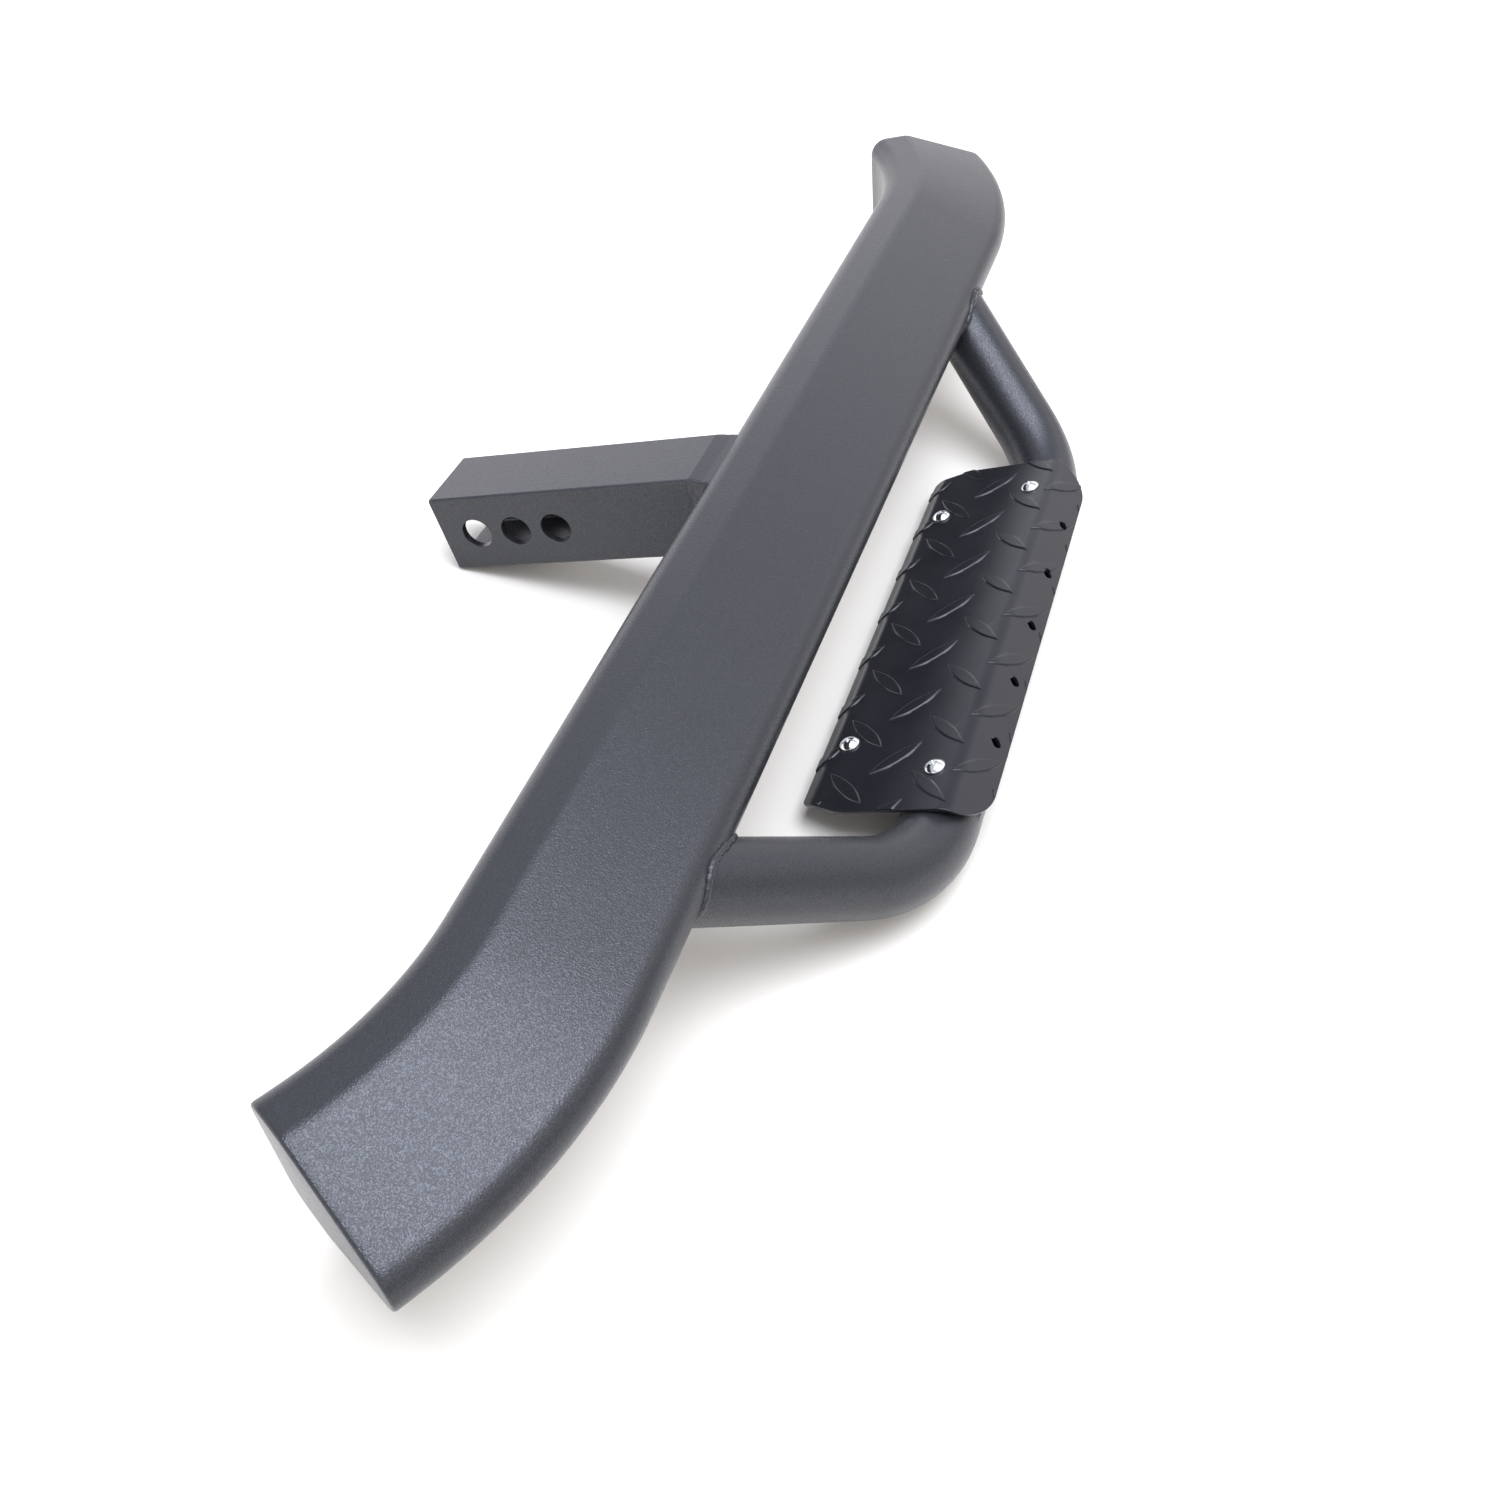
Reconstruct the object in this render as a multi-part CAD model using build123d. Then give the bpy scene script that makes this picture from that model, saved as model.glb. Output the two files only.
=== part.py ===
from build123d import *

import math
import os

# Hitch receiver step: a bent hollow bar welded across the end of a square receiver shank,
# with a round tube hoop below it that carries a folded tread plate.
# Millimetres and degrees. The origin is the centre of the middle pin hole in the shank,
# +X runs along the bar, +Y along the shank towards the vehicle, +Z up.

# Receiver shank
shank_side = 50.8
shank_wall = 4.8
shank_corner_radius = 2.2
shank_inner_radius = 1.5
pin_hole_diameter = 19.5
pin_hole_pitch = 28.2
pin_hole_end_margin = 24.7

# Main bar, placed by the upper front ridge of its section
bar_reach = 162.8
bar_ridge_height = 20.8
bar_tilt = 12.0
bar_straight_length = 700.0
bar_bend_radius = 210.0
bar_bend_angle = 30.5
bar_end_length = 6.0
bar_height = 69.6
bar_top_width = 29.0
bar_nose_reach = 62.3
bar_nose_radius = 14.0
bar_back_radius = 12.0
bar_ridge_radius = 16.0
bar_wall = 3.0
cap_thickness = 4.0

# Step hoop, placed by the axis of its run under the plate
hoop_diameter = 41.3
hoop_wall = 2.6
hoop_run_reach = 271.9
hoop_run_drop = 116.7
hoop_corner_spread = 375.6
hoop_bend_radius = 81.3
hoop_root_spread = 564.8
hoop_root_setback = 22.6
hoop_root_sink = 4.9

# Weld beads
shank_weld_leg = 9.5
shank_weld_height = 2.2
shank_weld_root = 9.0
shank_weld_run_in = 1.0
hoop_weld_leg = 3.5

# Step plate, measured across from the line where it rests on the hoop's run
plate_length = 328.0
plate_thickness = 2.0
plate_slope = 4.2
plate_inner_reach = 69.5
plate_lip_width = 6.0
plate_lip_angle = 26.0
plate_fold_offset = 12.0
plate_strip_width = 23.7
plate_strip_angle = 48.0
plate_bend_radius = 10.0
plate_inner_cut_length = 23.5
plate_inner_cut_depth = 9.5
plate_inner_tip_radius = 5.0
plate_inner_blend_radius = 30.0
plate_outer_corner_length = 32.0
plate_outer_corner_width = 19.0
plate_seat_clearance = 0.2

# Drain slots in the plate's outer strip
slot_count = 5
slot_pitch = 50.8
slot_width = 5.0
slot_length = 7.4
slot_lean = 36.0
slot_fold_distance = 15.0

# Raised lugs of the tread, in columns that lean left and right by turns
lug_length = 35.0
lug_width = 8.5
lug_height = 1.0
lug_angle = 45.0
lug_column_pitch = 22.75
lug_row_pitch = 44.0
lug_rows = 7
lug_outward_columns = 2
lug_inward_columns = 4
lug_first_column = 1.3
lug_shift = -14.0

# Plate screws and the tabs that take the inner pair
screw_diameter = 6.0
screw_length = 16.0
screw_head_diameter = 11.4
screw_head_height = 3.6
screw_head_rim = 0.9
screw_thread_clearance = 0.15
screw_hole_clearance = 0.6
screw_seat_clearance = 0.8
screw_outer_spread = 265.0
screw_inner_spread = 221.0
screw_inner_offset = 54.5
tab_width = 30.0
tab_thickness = 4.0
tab_lip_clearance = 0.5
tab_start = 8.0

# Frames of the tilted bar, of the hoop and of the plate
pin_hole_offsets = (pin_hole_pitch, 0.0, -pin_hole_pitch)
shank_free_end = pin_hole_pitch + pin_hole_end_margin
bar_frame = Plane(
    origin=(0, -bar_reach, bar_ridge_height),
    x_dir=(1, 0, 0),
    z_dir=(0, -math.sin(math.radians(bar_tilt)), math.cos(math.radians(bar_tilt))),
)
hoop_radius = hoop_diameter / 2
plate_normal = Vector(0, math.sin(math.radians(plate_slope)), math.cos(math.radians(plate_slope)))
screw_places = [
    (side * spread / 2, across)
    for spread, across in ((screw_outer_spread, 0.0), (screw_inner_spread, screw_inner_offset))
    for side in (-1, 1)
]


def hoop_root(side):
    """Point inside the bar's nose that one leg's axis runs to."""
    across = -bar_nose_reach + hoop_root_setback
    up = -bar_height / 2 - hoop_root_sink
    place = bar_frame.from_local_coords(Vector(0, across, up))
    return Vector(side * hoop_root_spread / 2, place.Y, place.Z)


def hoop_corner(side):
    """Point where the axes of one leg and of the run cross."""
    return Vector(side * hoop_corner_spread / 2, -hoop_run_reach, -hoop_run_drop)


def bend_rise():
    """Height that the hoop's bends gain over its run before they pass the plate's ends."""
    leg = hoop_root(1) - hoop_corner(1)
    turn = math.atan2(math.hypot(leg.Y, leg.Z), leg.X)
    run_end = hoop_corner_spread / 2 - hoop_bend_radius * math.tan(turn / 2)
    overhang = max(0.0, plate_length / 2 - run_end)
    upward = Vector(0, leg.Y, leg.Z).normalized().dot(plate_normal)
    swing = math.asin(min(math.sin(turn), overhang / (hoop_bend_radius - hoop_radius * upward)))
    axis_rise = hoop_bend_radius * (1 - math.cos(swing)) * upward
    return axis_rise + hoop_radius * (math.sqrt(1 - (math.sin(swing) * upward) ** 2) - 1)


plate_seat = hoop_radius + bend_rise() + plate_seat_clearance
plate_frame = Plane(
    origin=Vector(0, -hoop_run_reach, -hoop_run_drop) + plate_normal * plate_seat,
    x_dir=(1, 0, 0),
    z_dir=plate_normal,
)


# Main bar

def bar_section():
    """Outer section, x towards the vehicle and y up, with the upper front ridge at the origin."""
    half_height = bar_height / 2
    nose_centre = bar_nose_reach - bar_nose_radius
    centre_distance = math.hypot(nose_centre, half_height)
    slope = math.atan2(half_height, nose_centre) - math.asin(bar_nose_radius / centre_distance)
    nose_point = (-half_height / math.tan(slope), -half_height)
    corners = [
        (0, 0),
        nose_point,
        (0, -bar_height),
        (bar_top_width, -bar_height),
        (bar_top_width, 0),
    ]
    section = make_face(Polyline(*corners, close=True))
    section = fillet(section.vertices().sort_by(Axis.X)[0], bar_nose_radius)
    section = fillet(section.vertices().group_by(Axis.X)[-1], bar_back_radius)
    ridges = section.vertices().filter_by_position(Axis.X, -bar_ridge_radius / 10, bar_ridge_radius / 10)
    return fillet(ridges, bar_ridge_radius)


def bar_path():
    """Line of the ridge from the left end to the right one, in the bar's own frame."""
    turn = math.radians(bar_bend_angle)
    tangent_length = bar_bend_radius * math.tan(turn / 2)
    corner_x = bar_straight_length / 2 + tangent_length
    arm = tangent_length + bar_end_length
    tip_x = corner_x + arm * math.cos(turn)
    tip_y = arm * math.sin(turn)
    points = [(-tip_x, tip_y), (-corner_x, 0), (corner_x, 0), (tip_x, tip_y)]
    return FilletPolyline(*points, radius=bar_bend_radius)


def bar_end_plane(path, place, side):
    """Plane of the section at one end of the path, facing along the path."""
    turn = math.radians(bar_bend_angle)
    return Plane(origin=path @ place, x_dir=(-side * math.sin(turn), math.cos(turn), 0), z_dir=path % place)


def make_bar():
    """The hollow bent bar, and its two end caps by side."""
    path = bar_path()
    outer = bar_section()
    inner = offset(outer, amount=-bar_wall, kind=Kind.INTERSECTION)
    start = bar_end_plane(path, 0, -1)
    bar = sweep(start * outer, path=path) - sweep(start * inner, path=path)
    caps = {}
    for name, place, side in (("left", 0, -1), ("right", 1, 1)):
        face = bar_end_plane(path, place, side) * outer
        caps[name] = bar_frame * extrude(face, side * cap_thickness)
    return bar_frame * bar, caps


def bar_block(growth):
    """Filled straight stretch of the bar, grown all round, for fitting what is welded to it."""
    section = bar_section()
    if growth > 0:
        section = offset(section, amount=growth, kind=Kind.ARC)
    return bar_frame * extrude(Plane.YZ * section, bar_straight_length / 2, both=True)


# Receiver shank

def back_plane(distance):
    """Plane parallel to the bar's back face, this far behind it, centred on the shank's axis."""
    tilt = math.radians(bar_tilt)
    normal = Vector(0, math.cos(tilt), math.sin(tilt))
    face_point = Vector(0, -bar_reach, bar_ridge_height) + normal * (bar_top_width + distance)
    axis_y = face_point.Y + face_point.Z * math.tan(tilt)
    return Plane(origin=(0, axis_y, 0), x_dir=(1, 0, 0), z_dir=normal)


def shank_prism(side, corner_radius):
    """Square prism along the shank's axis, from its free end into the bar."""
    outline = RectangleRounded(side, side, corner_radius)
    return extrude(Plane.XZ.offset(-shank_free_end) * outline, shank_free_end + bar_reach)


def make_shank(back_cutter):
    """Square tube with pin holes through both walls, cut flat against the bar's back."""
    bore = shank_prism(shank_side - 2 * shank_wall, shank_inner_radius)
    shank = shank_prism(shank_side, shank_corner_radius) - bore - back_cutter
    for place in pin_hole_offsets:
        hole = Cylinder(pin_hole_diameter / 2, shank_side + shank_wall, rotation=(0, 90, 0))
        shank -= Pos(0, place, 0) * hole
    return shank


def weld_outline(distance, growth):
    """Rounded rectangle round the shank on a plane parallel to the bar's back face."""
    width = shank_side + 2 * growth
    height = shank_side / math.cos(math.radians(bar_tilt)) + 2 * growth
    return back_plane(distance) * RectangleRounded(width, height, shank_corner_radius + growth)


def make_shank_weld(back_cutter, block):
    """Bead that slopes from the shank down to the bar's back and fills the groove on top."""
    foot = weld_outline(0, shank_weld_height)
    shrink = shank_weld_height + shank_weld_run_in
    bead = Part()
    for leg in (shank_weld_leg, -shank_weld_root):
        length = abs(leg) * shrink / shank_weld_height
        taper = math.degrees(math.atan2(shrink, length))
        bead += extrude(foot, math.copysign(length, leg), taper=taper)
    solid_shank = shank_prism(shank_side, shank_corner_radius) - back_cutter
    return bead - solid_shank - block


# Step hoop

def hoop_tube(radius):
    """Solid round rod along the hoop's axis, straight stretches and bends in turn."""
    path = FilletPolyline(hoop_root(-1), hoop_corner(-1), hoop_corner(1), hoop_root(1), radius=hoop_bend_radius)
    rod = Part()
    for stretch in path.edges():
        section = Plane(origin=stretch @ 0, z_dir=stretch % 0) * Circle(radius)
        if stretch.geom_type == GeomType.CIRCLE:
            rod += sweep(section, path=stretch)
        else:
            rod += extrude(section, stretch.length)
    return rod


def make_hoop(block):
    """Bent round tube, coped to the bar's nose, with holes for the outer screws."""
    hoop = hoop_tube(hoop_radius) - hoop_tube(hoop_radius - hoop_wall) - block
    for x, y in screw_places:
        if y < hoop_radius:
            hoop -= screw_hole(x, y, -hoop_radius, screw_thread_clearance)
    return hoop


def make_hoop_weld(side, block):
    """Ring of weld where one leg meets the bar's nose."""
    root = hoop_root(side)
    leg = hoop_corner(side) - root
    rod = Plane(origin=root, z_dir=leg) * Circle(hoop_radius + hoop_weld_leg)
    grown_leg = extrude(rod, leg.length / 2)
    plain_leg = extrude(Plane(origin=root, z_dir=leg) * Circle(hoop_radius), leg.length / 2)
    return (grown_leg & bar_block(hoop_weld_leg)) - plain_leg - block


# Step plate, in its own frame with z square to the main face and y towards the bar

def sheet_line(height):
    """Folded line across the plate at a height above its underside, from the bar side outwards."""
    lip = math.radians(plate_lip_angle)
    fold = math.radians(plate_strip_angle)
    lip_start = plate_inner_reach - plate_lip_width * math.cos(lip)
    lip_corner = (lip_start + height * math.tan(lip / 2), height)
    fold_corner = (-plate_fold_offset - height * math.tan(fold / 2), height)
    lip_end = (
        lip_start + plate_lip_width * math.cos(lip) + height * math.sin(lip),
        -plate_lip_width * math.sin(lip) + height * math.cos(lip),
    )
    strip_end = (
        -plate_fold_offset - plate_strip_width * math.cos(fold) - height * math.sin(fold),
        -plate_strip_width * math.sin(fold) + height * math.cos(fold),
    )
    return FilletPolyline(lip_end, lip_corner, fold_corner, strip_end, radius=plate_bend_radius + height)


def sheet_layer(low, high):
    """Folded layer between two heights above the plate's underside."""
    below = sheet_line(low)
    above = sheet_line(high)
    ends = [Line(below @ 0, above @ 0), Line(below @ 1, above @ 1)]
    profile = make_face([*below.edges(), *above.edges(), *ends])
    return extrude(Plane.YZ * profile, plate_length / 2, both=True)


def plan_prism():
    """Upright prism of the plate's outline, cut away at the inner corners and rounded at the outer."""
    reach = plate_inner_reach + plate_lip_width
    depth = plate_fold_offset + plate_strip_width + plate_lip_width
    fold = math.radians(plate_strip_angle)
    inner = plate_inner_reach + (plate_thickness + lug_height) * math.sin(math.radians(plate_lip_angle))
    outer = plate_fold_offset + plate_strip_width * math.cos(fold)
    outer += (plate_thickness + lug_height) * math.sin(fold)
    half = plate_length / 2
    tip_x = half - plate_inner_cut_depth
    cut_y = inner - plate_inner_cut_length
    arc_x = half - plate_outer_corner_length
    arc_y = plate_outer_corner_width - outer
    edges = [Line((-tip_x, inner), (tip_x, inner)), Line((-arc_x, -outer), (arc_x, -outer))]
    for side, start in ((1, -90), (-1, 180)):
        edges += [
            Line((side * tip_x, inner), (side * half, cut_y)),
            Line((side * half, cut_y), (side * half, arc_y)),
            EllipticalCenterArc(
                (side * arc_x, arc_y), plate_outer_corner_length, plate_outer_corner_width, start, arc_size=90
            ),
        ]
    plan = make_face(edges)
    plan = fillet(plan.vertices().group_by(Axis.Y)[-1], plate_inner_tip_radius)
    blends = plan.vertices().filter_by(lambda corner: math.isclose(corner.Y, cut_y))
    plan = fillet(blends, plate_inner_blend_radius)
    return extrude(plan, reach + depth, both=True)


def strip_plane(distance):
    """Plane on the outer strip's underside, this far from the fold, with y up the slope."""
    fold = math.radians(plate_strip_angle)
    return Plane(
        origin=(0, -plate_fold_offset - distance * math.cos(fold), -distance * math.sin(fold)),
        x_dir=(1, 0, 0),
        z_dir=(0, -math.sin(fold), math.cos(fold)),
    )


def lug_outline(lean):
    """Pointed oval of one lug, leaning to one side of the plate's length."""
    ends = ((-lug_length / 2, 0), (lug_length / 2, 0))
    sides = [SagittaArc(*ends, lug_width / 2), SagittaArc(*ends, -lug_width / 2)]
    return Rot(0, 0, lean * lug_angle) * make_face(sides)


def lug_columns():
    """Place across the unfolded plate, lean and shift along it of each column of lugs."""
    columns = []
    for index in range(-lug_outward_columns, lug_inward_columns):
        lean = 1 if index % 2 == 0 else -1
        shift = lug_shift if lean == 1 else lug_shift + lug_row_pitch / 2
        columns.append((lug_first_column + index * lug_column_pitch, lean, shift))
    return columns


def make_lugs():
    """Raised lugs that follow the folded sheet, kept clear of the screw heads."""
    prisms = []
    for across, lean, shift in lug_columns():
        on_strip = across < -plate_fold_offset
        base = strip_plane(-across - plate_fold_offset) if on_strip else Plane((0, across, 0))
        for row in range(lug_rows):
            along = shift + (row - lug_rows // 2) * lug_row_pitch
            outline = base * Pos(along, 0) * lug_outline(lean)
            prisms.append(extrude(outline, plate_lip_width, both=True))
    layer = sheet_layer(plate_thickness, plate_thickness + lug_height) & plan_prism()
    lugs = (Part() + prisms) & layer
    seat_radius = screw_head_diameter / 2 + screw_seat_clearance
    for x, y in screw_places:
        lugs -= Pos(x, y, plate_thickness) * Cylinder(seat_radius, 2 * plate_thickness)
    return lugs


def screw_hole(x, y, depth, clearance):
    """Round cutter along one screw, from above the plate down to a depth below its underside."""
    top = plate_thickness + lug_height
    hole = Cylinder(screw_diameter / 2 + clearance, top - depth, align=(Align.CENTER, Align.CENTER, Align.MAX))
    return plate_frame * Pos(x, y, top) * hole


def make_plate():
    """Folded tread sheet with its lugs, drain slots and screw holes."""
    plate = (sheet_layer(0, plate_thickness) & plan_prism()) + make_lugs()
    slot = Rot(0, 0, slot_lean) * SlotOverall(slot_length, slot_width)
    depth = plate_thickness + lug_height
    for index in range(slot_count):
        along = (index - (slot_count - 1) / 2) * slot_pitch
        plate -= extrude(strip_plane(slot_fold_distance) * Pos(along, 0) * slot, depth, both=True)
    plate = plate_frame * plate
    for x, y in screw_places:
        plate -= screw_hole(x, y, -plate_thickness, screw_hole_clearance)
    return plate


def make_tab(side, solid_hoop):
    """Flat tab from the hoop's run out under the plate, with a hole for one inner screw."""
    lip = math.radians(plate_lip_angle)
    flat_end = plate_inner_reach - plate_lip_width * math.cos(lip) - plate_bend_radius * math.tan(lip / 2)
    length = flat_end - tab_lip_clearance - tab_start
    tab = Box(tab_width, length, tab_thickness, align=(Align.CENTER, Align.MIN, Align.MAX))
    tab = plate_frame * Pos(side * screw_inner_spread / 2, tab_start, 0) * tab
    hole = screw_hole(side * screw_inner_spread / 2, screw_inner_offset, -2 * tab_thickness, screw_thread_clearance)
    return tab - solid_hoop - hole


def make_screws():
    """Four domed screws standing on the plate's top face."""
    head_radius = screw_head_diameter / 2
    rim = Line((head_radius, 0), (head_radius, screw_head_rim))
    dome = TangentArc((0, screw_head_height), rim @ 1, tangent=(1, 0))
    shank_radius = screw_diameter / 2
    outline = [
        rim,
        dome,
        Line((0, screw_head_height), (0, -screw_length)),
        Line((0, -screw_length), (shank_radius, -screw_length)),
        Line((shank_radius, -screw_length), (shank_radius, 0)),
        Line((shank_radius, 0), (head_radius, 0)),
    ]
    screw = revolve(Plane.XZ * make_face(outline), Axis.Z)
    return Compound(children=[plate_frame * Pos(x, y, plate_thickness) * screw for x, y in screw_places])


# Build and write each piece

def main():
    """Make every piece in the shared frame and write one file for each."""
    block = bar_block(0)
    back_cutter = extrude(back_plane(0) * Rectangle(2 * shank_side, 2 * shank_side), -bar_reach)
    bar, caps = make_bar()
    pieces = {
        "main_bar": bar,
        "receiver_shank": make_shank(back_cutter),
        "shank_weld": make_shank_weld(back_cutter, block),
        "step_hoop": make_hoop(block),
        "step_plate": make_plate(),
        "plate_screws": make_screws(),
    }
    for name, cap in caps.items():
        pieces[f"end_cap_{name}"] = cap
    solid_hoop = hoop_tube(hoop_radius)
    for name, side in (("left", -1), ("right", 1)):
        pieces[f"hoop_weld_{name}"] = make_hoop_weld(side, block)
        pieces[f"plate_tab_{name}"] = make_tab(side, solid_hoop)
    os.makedirs("parts", exist_ok=True)
    for name, shape in pieces.items():
        export_step(shape, f"parts/{name}.step")


main()
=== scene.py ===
"""Hitch receiver step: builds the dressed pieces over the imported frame, in metres."""

from math import asin, atan2, cos, hypot, pi, radians, sin, sqrt, tan

import bmesh
import bpy
from bpy.props import FloatProperty, FloatVectorProperty, IntProperty, PointerProperty
from mathutils import Matrix, Quaternion, Vector, noise
from mathutils.bvhtree import BVHTree


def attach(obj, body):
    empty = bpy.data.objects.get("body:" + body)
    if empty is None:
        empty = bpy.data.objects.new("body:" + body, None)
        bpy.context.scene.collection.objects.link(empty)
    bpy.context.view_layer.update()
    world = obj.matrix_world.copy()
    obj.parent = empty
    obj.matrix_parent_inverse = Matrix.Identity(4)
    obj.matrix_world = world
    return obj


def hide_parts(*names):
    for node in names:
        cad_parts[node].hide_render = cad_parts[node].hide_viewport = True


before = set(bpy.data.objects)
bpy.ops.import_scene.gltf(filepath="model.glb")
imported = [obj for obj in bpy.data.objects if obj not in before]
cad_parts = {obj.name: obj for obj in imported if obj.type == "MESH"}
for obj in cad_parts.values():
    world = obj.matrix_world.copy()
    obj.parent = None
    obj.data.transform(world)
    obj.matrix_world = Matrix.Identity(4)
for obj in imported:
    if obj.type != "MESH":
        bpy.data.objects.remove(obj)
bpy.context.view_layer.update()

bl_info = {
    "name": "Hitch Receiver Step",
    "version": (1, 0, 0),
    "blender": (4, 5, 0),
    "location": "View3D > Sidebar > Hitch Step",
    "description": "Builds a coated hitch step with a tread plate over its packed frame",
    "category": "Object",
}

# Facets of the round forms
BEND_STEPS = 28
SECTION_CORNER_STEPS = 10
TUBE_CORNER_STEPS = 8
BLANK_CORNER_STEPS = 14
SLOT_CORNER_STEPS = 10
HOOP_FACETS = 72
PIN_HOLE_FACETS = 56
SEAT_FACETS = 40
HEAD_FACETS = 48
HEAD_DOME_STEPS = 14
LUG_SIDE_STEPS = 18
BEAD_RINGS = 220
BEAD_FACETS = 16
BEAD_SIDE_CUTS = 40
BEAD_SLOPE_STEPS = 8
ROUNDING_STEPS = 3
FINE_ROUNDING_STEPS = 2

# Angles past which an edge is drawn sharp, or is rounded
CREASE = radians(40)
SHANK_BEAD_CREASE = radians(50)
HOOP_BEAD_CREASE = radians(60)
HEAD_CREASE = radians(45)
BLANK_EDGE = radians(60)
HEAD_EDGE = radians(35)

# Distance under which vertices count as one, in metres
MERGE_DISTANCE = 1e-6

# Detail of the cloudy patterns, and the middle of their range
SOFT_DETAIL = 2.0
FINE_DETAIL = 3.0
MIDDLE = 0.5

# Bands where the room's light changes: two by how far a direction points up, one by how far back
CEILING_BAND = (0.36, 0.80)
LOW_BAND = (0.05, 0.30)
FRONT_BAND = (-0.35, 0.15)

# Side of the camera's square sensor in millimetres
SENSOR_SIDE = 36.0

# Names of the two halves, and their signs along x
SIDES = (("left", -1), ("right", 1))


# Kinds of property

def length(name, description, default):
    """Length property in metres."""
    return FloatProperty(
        name=name, description=description, default=default, min=0.0, precision=4, unit="LENGTH"
    )


def turn(name, description, degrees):
    """Angle property, with its default given in degrees."""
    return FloatProperty(name=name, description=description, default=radians(degrees), subtype="ANGLE")


def share(name, description, default):
    """Number from nought to one."""
    return FloatProperty(
        name=name, description=description, default=default, min=0.0, max=1.0, subtype="FACTOR"
    )


def paint(name, description, default):
    """Colour property in linear red, green and blue."""
    return FloatVectorProperty(
        name=name, description=description, default=default, size=3, min=0.0, max=1.0, subtype="COLOR"
    )


def number(name, description, default):
    """Whole number property."""
    return IntProperty(name=name, description=description, default=default, min=1)


def place(name, description, default):
    """Point property in metres."""
    return FloatVectorProperty(
        name=name, description=description, default=default, size=3, subtype="TRANSLATION"
    )


class HITCHSTEP_PG_bar(bpy.types.PropertyGroup):
    """Sizes of the bent bar and of its end caps."""

    reach: length("Reach", "From the middle pin hole forward to the upper front ridge", 0.1628)
    ridge_height: length("Ridge Height", "Height of the upper front ridge over the pin holes", 0.0208)
    tilt: turn("Tilt", "How far the flat top leans forward", 12.0)
    straight_length: length("Straight Length", "Length of the stretch between the bends", 0.700)
    bend_radius: length("Bend Radius", "Radius of the bends along the ridge", 0.210)
    bend_angle: turn("Bend Angle", "How far each end sweeps back", 30.5)
    end_length: length("End Length", "Straight stretch after each bend", 0.006)
    height: length("Height", "Height of the section square to the flat top", 0.0696)
    top_width: length("Top Width", "Width of the flat top", 0.029)
    nose_reach: length("Nose Reach", "From the ridge forward to the nose", 0.0623)
    nose_radius: length("Nose Radius", "Rounding of the nose", 0.014)
    back_radius: length("Back Radius", "Rounding of the edges of the back", 0.012)
    ridge_radius: length("Ridge Radius", "Rounding of the front ridges", 0.016)
    cap_thickness: length("Cap Thickness", "Thickness of the end caps", 0.004)
    cap_edge: length("Cap Edge", "Rounding of the end caps' outer rims", 0.0016)


class HITCHSTEP_PG_shank(bpy.types.PropertyGroup):
    """Sizes of the receiver shank."""

    side: length("Side", "Outside of the square tube", 0.0508)
    wall: length("Wall", "Wall of the square tube", 0.0048)
    corner_radius: length("Corner Radius", "Outer rounding of the tube's corners", 0.0022)
    inner_radius: length("Inner Radius", "Inner rounding of the tube's corners", 0.0015)
    hole_diameter: length("Hole Diameter", "Diameter of the pin holes", 0.0195)
    hole_pitch: length("Hole Pitch", "Distance between the pin holes", 0.0282)
    end_margin: length("End Margin", "From the outer pin hole to the free end", 0.02469)
    rim: length("Rim", "Rounding of the cut edges", 0.0005)


class HITCHSTEP_PG_hoop(bpy.types.PropertyGroup):
    """Sizes of the bent round tube under the plate."""

    diameter: length("Diameter", "Outside of the round tube", 0.0413)
    run_reach: length("Run Reach", "From the middle pin hole forward to the front run", 0.2719)
    run_drop: length("Run Drop", "How far the front run lies under the pin holes", 0.1167)
    corner_spread: length("Corner Spread", "Between the corners of the axis", 0.3756)
    bend_radius: length("Bend Radius", "Radius of the axis in the bends", 0.0813)
    root_spread: length("Root Spread", "Between the ends of the axis inside the bar", 0.5648)
    root_setback: length("Root Setback", "How far behind the nose the axis ends", 0.0226)
    root_sink: length("Root Sink", "How far under the nose's middle the axis ends", 0.0049)


class HITCHSTEP_PG_weld(bpy.types.PropertyGroup):
    """Sizes of the weld beads."""

    shank_leg: length("Shank Leg", "Reach of the shank's bead along the shank", 0.0095)
    shank_height: length("Shank Height", "Reach of the shank's bead along the bar", 0.0022)
    shank_dip: length("Shank Dip", "Fall of the shank's bead towards the bar, over the shank's top", 0.0022)
    shank_skin: length("Shank Skin", "Thickness of the bead over the shank's sloping top", 0.0001)
    shank_root: length("Shank Root", "Depth of the shank's bead behind the back face", 0.009)
    run_in: length("Run In", "How far the shank's bead sinks into the shank", 0.001)
    hoop_radius: length("Hoop Bead Radius", "Half the width of the beads on the hoop", 0.0022)
    ripple_pitch: length("Ripple Pitch", "Distance between the ripples of a bead", 0.0042)
    ripple_depth: share("Ripple Depth", "Height of the ripples as a share of the bead", 0.05)
    lump_depth: share("Lump Depth", "Height of the lumps as a share of the bead", 0.32)
    lump_rate: number("Lump Rate", "Lumps of the hoop's beads over a metre", 190)
    side_lump_rate: number("Side Lump Rate", "Lumps of the shank's bead over a metre", 260)
    side_lumps: share("Side Lumps", "How much of the lumps the sides of the shank's bead show", 0.1)
    cast_start: share("Cast Start", "Where along a leg the lines that find the bar start", 0.3)


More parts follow.
